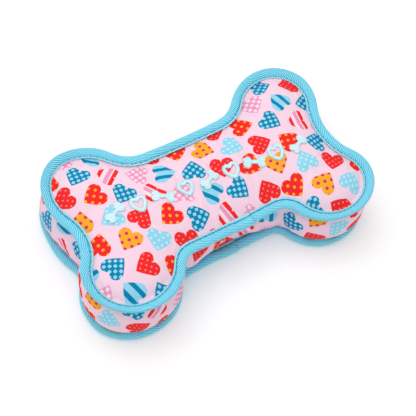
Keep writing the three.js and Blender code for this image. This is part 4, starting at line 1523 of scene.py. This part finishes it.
top_liner = panel_mesh("top_liner", under_top(LINER_GAP), LINER_REACH)
bottom_liner = panel_mesh("bottom_liner", over_bottom(CLOTH + CLEARANCE), LINER_REACH, nothing)
bottom_panel = panel_mesh("bottom_panel", bottom_face, FLANGE_REACH + SHOULDER_REACH, nothing)
soft_top = [
    top_panel(),
    side_strip(),
    bound_tape("top_tape", TOP_TAPE_JOIN_X, UPPER_SEAM, 1.3),
    stitch_row("top_tape_stitching", TOP_TAPE_JOIN_X, UPPER_SEAM, 1),
    backing_patch(),
    sewn_cloth("top_liner", top_liner, "liner_cloth", LINER),
    side_liner(),
    stuffing("upper_stuffing", True),
    stuffing("lower_stuffing", False),
]
soft_top += [motif(index) for index in range(MOTIF_COUNT)]
sewn_cloth("bottom_panel", bottom_panel, "printed_cloth", CLOTH)
sewn_cloth("bottom_liner", bottom_liner, "liner_cloth", LINER)
bound_tape("bottom_tape", BOTTOM_TAPE_JOIN_X, LOWER_SEAM, 7.9)
stitch_row("bottom_tape_stitching", BOTTOM_TAPE_JOIN_X, LOWER_SEAM, -1)
squeaker()

# Every piece of the soft body in soft_top gets a mesh of its own
for piece in soft_top:
    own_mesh(piece)

# Floor, light and camera. The camera is the photograph's, as the fit of the two tape outlines gave it
WHITE = (1, 1, 1, 1)
FLOOR_SIZE = 4
FLOOR_TONE = (0.95, 0.94, 0.96, 1)
FLOOR_GLOW = 0.07
WORLD_LEVEL = 0.70
LAMP_PLACE = (-0.15, 0.30, 1.1)
LAMP_SIZE = 1.0
LAMP_POWER = 5.8
PHOTO_SIZE = 416
CAMERA_AZIMUTH = math.radians(-43.2)
CAMERA_ELEVATION = math.radians(60.68)
CAMERA_ROLL = math.radians(13.99)
CAMERA_DISTANCE = 0.6631
FOCAL_PIXELS = 861
CENTRE_PIXELS_X = -2.76
CENTRE_PIXELS_Y = -11.75
CAMERA_CLIP = (0.05, 20)
SENSOR = 36.0


def seen_by(graph, *rays):
    """One where the camera, or a ray of one of the named kinds, looks at the thing itself."""
    path = graph.outputs(graph.node("ShaderNodeLightPath"))
    seen = path["Is Camera Ray"]
    for ray in rays:
        seen = graph.math("MAXIMUM", seen, path[ray])
    return seen


def floor():
    bm = bmesh.new()
    bmesh.ops.create_grid(bm, x_segments=1, y_segments=1, size=FLOOR_SIZE)
    piece = placed("floor", mesh_of("floor", bm))
    made = Finish("pale_floor", 0.9, specular=0.0)
    seen = seen_by(made, "Is Glossy Ray")
    made.join(made.mix(seen, FLOOR_TONE, WHITE), made.shader["Base Color"])
    made.shader["Emission Color"].default_value = WHITE
    made.join(seen * FLOOR_GLOW, made.shader["Emission Strength"])
    piece.data.materials.append(made.material)


def world():
    made = bpy.data.worlds.new("studio")
    bpy.context.scene.world = made
    made.use_nodes = True
    graph = Graph(made.node_tree)
    seen = seen_by(graph, "Is Glossy Ray", "Is Transmission Ray")
    shader = made.node_tree.nodes["Background"].inputs
    shader["Color"].default_value = WHITE
    strength = graph.math("MULTIPLY_ADD", seen, 1.0 - WORLD_LEVEL, WORLD_LEVEL)
    graph.join(strength, shader["Strength"])


def lamp():
    data = bpy.data.lights.new("overhead", "AREA")
    data.shape = "SQUARE"
    data.size = LAMP_SIZE
    data.energy = LAMP_POWER
    made = placed("overhead", data)
    made.location = LAMP_PLACE
    made.rotation_euler = (-Vector(LAMP_PLACE)).to_track_quat("-Z", "Y").to_euler()


def camera():
    data = bpy.data.cameras.new("photo_camera")
    data.sensor_width = SENSOR
    data.lens = SENSOR * FOCAL_PIXELS / PHOTO_SIZE
    data.shift_x = -CENTRE_PIXELS_X / PHOTO_SIZE
    data.shift_y = CENTRE_PIXELS_Y / PHOTO_SIZE
    data.clip_start, data.clip_end = CAMERA_CLIP
    made = placed("photo_camera", data)
    target = Matrix.Translation((0, 0, BOTTOM_PLANE + SEAM_HEIGHT / 2))
    turn = Matrix.Rotation(CAMERA_AZIMUTH, 4, "Z")
    tip = Matrix.Rotation(math.pi / 2 - CAMERA_ELEVATION, 4, "X")
    roll = Matrix.Rotation(CAMERA_ROLL, 4, "Z")
    away = Matrix.Translation((0, 0, CAMERA_DISTANCE))
    made.matrix_world = target @ turn @ tip @ roll @ away
    bpy.context.scene.camera = made


floor()
world()
lamp()
camera()
bpy.context.scene.view_settings.view_transform = "Standard"
